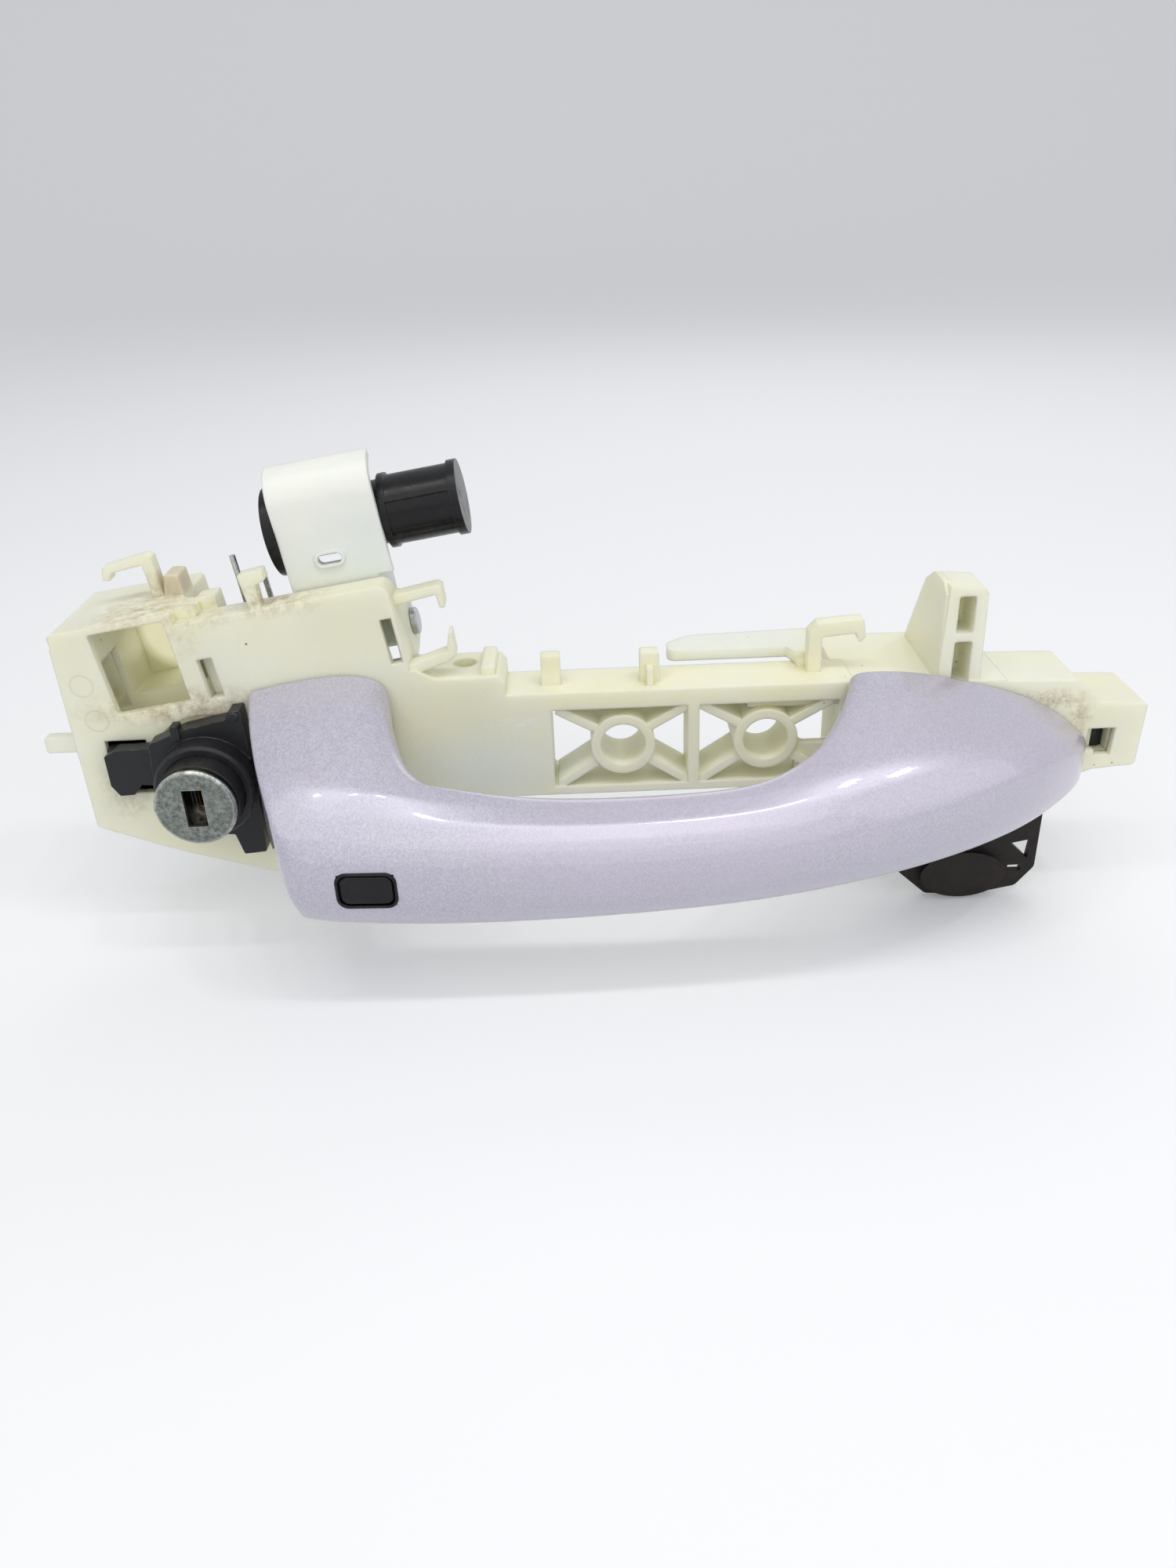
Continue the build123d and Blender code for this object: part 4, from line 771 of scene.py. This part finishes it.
# ---------------------------------------------------------------- springs
def make_lever_spring(steel):
    """Torsion spring round the pivot pin with its two straight ends."""
    radius, turns, end = 5.2, 6, -111.6
    depth, height = 21.5, 42.5
    points = [tilted(-114.6, 15.2, 72.0), tilted(-114.6, 15.2, 60.0), tilted(-115.6, 15.2, 50.0)]
    steps = turns * 20
    for step in range(steps + 1):
        angle = pi + 2 * pi * turns * step / steps
        station = -118.6 + (end + 118.6) * step / steps if step > 20 else -116.4 - 2.2 * step / 20
        points.append(tilted(station, depth + radius * cos(angle), height - radius * sin(angle)))
    points += [tilted(end, 26.9, 46.0), tilted(end, 27.0, 54.0), tilted(end, 27.0, 61.9)]
    spring = wire("lever_spring_wire", "root", points, 0.84, steel)
    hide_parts("lever_spring")


def make_lock_spring(steel):
    """Flat wound return spring behind the lock sleeve."""
    centre = Vector((-135.0, 0, -3.3))
    points = []
    steps = 76
    for step in range(steps + 1):
        angle = 2 * pi * 3.8 * step / steps
        depth = 13.2 + 3.3 * step / steps
        points.append((centre + Vector((4.4 * cos(angle), depth, 4.4 * sin(angle)))) * MM)
    points.insert(0, (centre + Vector((4.4, 13.1, 9.6))) * MM)
    points.insert(1, (centre + Vector((4.4, 13.1, 4.0))) * MM)
    spring = wire("lock_spring_wire", "root", points, 0.4, steel)
    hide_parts("lock_spring")


# ---------------------------------------------------------------- setting
def area_light(name, place, target, size, power, colour=(1, 1, 1)):
    data = bpy.data.lights.new(name, "AREA")
    data.shape = "RECTANGLE"
    data.size, data.size_y = size
    data.energy = power
    data.color = colour
    lamp = bpy.data.objects.new(name, data)
    bpy.context.scene.collection.objects.link(lamp)
    lamp.location = place
    lamp.rotation_euler = (Vector(target) - Vector(place)).to_track_quat("-Z", "Y").to_euler()


def seen_directly(tree):
    """1 for rays from the camera, and for mirrored and refracted ones."""
    path = tree.nodes.new("ShaderNodeLightPath")
    total = path.outputs["Is Camera Ray"]
    for name in ("Is Glossy Ray", "Is Transmission Ray"):
        node = tree.nodes.new("ShaderNodeMath")
        node.operation = "MAXIMUM"
        tree.links.new(total, node.inputs[0])
        tree.links.new(path.outputs[name], node.inputs[1])
        total = node.outputs[0]
    return total


def set_stage():
    """Pale sweep, floor running up into a back wall far behind."""
    floor_height = cad_box[0][2] - 0.0002
    bm = bmesh.new()
    bmesh.ops.create_grid(bm, x_segments=1, y_segments=1, size=2.4)
    bmesh.ops.translate(bm, verts=bm.verts, vec=(0, -0.4, floor_height))
    edges = [edge for edge in bm.edges if all(v.co.y > 1.9 for v in edge.verts)]
    bent = bmesh.ops.spin(bm, geom=edges, cent=(0, 2.0, floor_height + 0.8), axis=(1, 0, 0),
                          angle=pi / 2, steps=16, dvec=(0, 0, 0))
    top = [item for item in bent["geom_last"] if isinstance(item, bmesh.types.BMEdge)]
    raised = bmesh.ops.extrude_edge_only(bm, edges=top)
    corners = [item for item in raised["geom"] if isinstance(item, bmesh.types.BMVert)]
    bmesh.ops.translate(bm, verts=corners, vec=(0, 0, 2.5))
    mesh = bpy.data.meshes.new("sweep")
    bm.to_mesh(mesh)
    bm.free()
    mesh.shade_smooth()
    sweep = bpy.data.objects.new("sweep", mesh)
    bpy.context.scene.collection.objects.link(sweep)
    look = Finish("pale sweep", (0.80, 0.81, 0.82), 0.85)
    glow = look.maths("MULTIPLY", seen_directly(look.tree), 0.16)
    look.set("Emission Color", (0.92, 0.94, 0.96, 1))
    look.drive("Emission Strength", glow)
    look.relief(look.noise(6.0, 2.0), 0.0002, 0.1)
    mesh.materials.append(look.material)


# place across and width of each small lamp
SPARKS = ((-0.40, 0.05), (-0.24, 0.03), (-0.07, 0.03), (0.07, 0.05), (0.20, 0.05), (0.40, 0.12))


def set_light():
    area_light("key", (-0.3, -0.75, 1.15), (-0.02, 0, 0), (1.5, 1.1), 4.8, (1, 0.985, 0.96))
    area_light("fill", (0.9, -0.7, 0.6), (0, 0, 0), (1.0, 1.0), 1.85, (0.97, 0.98, 1.0))
    area_light("low front", (-0.1, -1.2, 0.42), (-0.03, 0, 0), (1.3, 0.7), 1.3, (1, 0.99, 0.97))
    # a row of small lamps whose reflections break along the grip
    for number, (across, wide) in enumerate(SPARKS):
        area_light(f"spark {number}", (across, -0.24, 0.88), (-0.03, -0.04, 0), (wide, 0.05),
                   wide * 6.4)
    area_light("back", (0.2, 0.9, 0.7), (0, 0, 0), (0.8, 0.5), 1.5)
    world = bpy.data.worlds.new("world")
    bpy.context.scene.world = world
    world.use_nodes = True
    tree = world.node_tree
    shade = tree.nodes["Background"]
    shade.inputs["Color"].default_value = (0.965, 0.97, 1.0, 1)
    shade.inputs["Strength"].default_value = 0.53
    pale = tree.nodes.new("ShaderNodeBackground")
    pale.inputs["Color"].default_value = (0.78, 0.80, 0.82, 1)
    pale.inputs["Strength"].default_value = 0.95
    choose = tree.nodes.new("ShaderNodeMixShader")
    tree.links.new(seen_directly(tree), choose.inputs[0])
    tree.links.new(shade.outputs[0], choose.inputs[1])
    tree.links.new(pale.outputs[0], choose.inputs[2])
    tree.links.new(choose.outputs[0], tree.nodes["World Output"].inputs[0])
    bpy.context.scene.view_settings.view_transform = "Standard"


# ---------------------------------------------------------------- putting it together
add_camera()
set_stage()
set_light()

cream = natural_nylon()
milky = milky_nylon()
paint = silver_lilac_paint()
housing_black = black_plastic("housing black", (0.017, 0.0175, 0.020), 0.40, 800.0, 0.42)
weight_black = black_plastic("weight black", (0.004, 0.004, 0.005), 0.30, 500.0, 0.12)
button_black = black_plastic("button black", (0.005, 0.005, 0.007), 0.26, 1200.0, 0.10)
arm_black = black_plastic("arm black", (0.022, 0.022, 0.023), 0.42, 900.0, 0.25)
gasket_rubber = rubber("gasket rubber", (0.014, 0.012, 0.011))
bumper_rubber = rubber("bumper rubber", (0.03, 0.03, 0.03))
sleeve_zinc = worn_zinc("sleeve zinc", (0.36, 0.33, 0.29), 0.42)
sleeve_black = black_plastic("blackened sleeve", (0.018, 0.018, 0.019), 0.36, 1100.0, 0.5)
plug_zinc = worn_zinc("plug zinc", (0.205, 0.225, 0.205), 0.38, (-135.0, -3.3, 9.9, 11.2))
wire_steel = bright_metal("spring wire", (0.62, 0.63, 0.64), 0.26)
pin_steel = bright_metal("plated pin", (0.58, 0.60, 0.62), 0.3, (1.0, 8.0, 8.0))
screw_steel = bright_metal("plated screws", (0.60, 0.58, 0.50), 0.32)
wafer_brass = bright_metal("wafer brass", (0.78, 0.58, 0.26), 0.3)
core_steel = bright_metal("turned steel", (0.5, 0.5, 0.5), 0.36, (6.0, 1.0, 1.0))
dome_steel = bright_metal("dome steel", (0.72, 0.72, 0.70), 0.22)
switch_grey = black_plastic("switch grey", (0.10, 0.10, 0.11), 0.42, 700.0)

softened("frame", "root", 0.5, cream)
softened("bell_crank", "crank", 0.45, milky)
softened("lock_housing", "root", 0.35, housing_black)
softened("weight_sleeve", "crank", 0.3, weight_black)
softened("front_gasket", "root", 0.5, gasket_rubber, 3)
softened("lock_plug", "plug", 0.2, plug_zinc)
softened("lock_sleeve", "root", 0.25, sleeve_black)
# the button and its lip lean with the skin round them
for name, body, width in (("button_bezel", "grip", 0.35), ("request_button", "button", 0.6)):
    moulded = softened(name, body, width, button_black, 4)
    for vertex in moulded.data.vertices:
        if vertex.co.y < -0.045:
            vertex.co.y += 0.25 * MM - BUTTON_LEAN * (vertex.co.x - BUTTON.x)
softened("rear_arm", "grip", 0.5, arm_black)
softened("front_arm", "grip", 0.4, arm_black)
make_grip(paint, arm_black)
make_lever_spring(wire_steel)
make_lock_spring(wire_steel)

NODE_FINISHES = {
    "frame": cream, "bell_crank": milky, "rod_clip": milky, "grip_outer": paint,
    "grip_inner": arm_black, "rear_arm": arm_black, "front_arm": arm_black,
    "lock_housing": housing_black, "weight_sleeve": weight_black, "weight_core": core_steel,
    "front_gasket": gasket_rubber, "stop_bumper": bumper_rubber, "lock_plug": plug_zinc,
    "lock_sleeve": sleeve_black, "tail_lever": sleeve_zinc, "lock_wafers": wafer_brass,
    "tail_clip": wire_steel, "pivot_pin": pin_steel, "pin_clip": wire_steel,
    "lever_spring": wire_steel, "lock_spring": wire_steel, "housing_screw": screw_steel,
    "arm_screws": screw_steel, "request_button": button_black, "button_bezel": button_black,
    "push_switch": switch_grey, "switch_dome": dome_steel, "sensor_board": circuit_board(),
    "aerial_core": ferrite(), "aerial_coil": wound_wire(),
}
for name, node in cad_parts.items():
    node.data.materials.clear()
    node.data.materials.append(NODE_FINISHES[name])
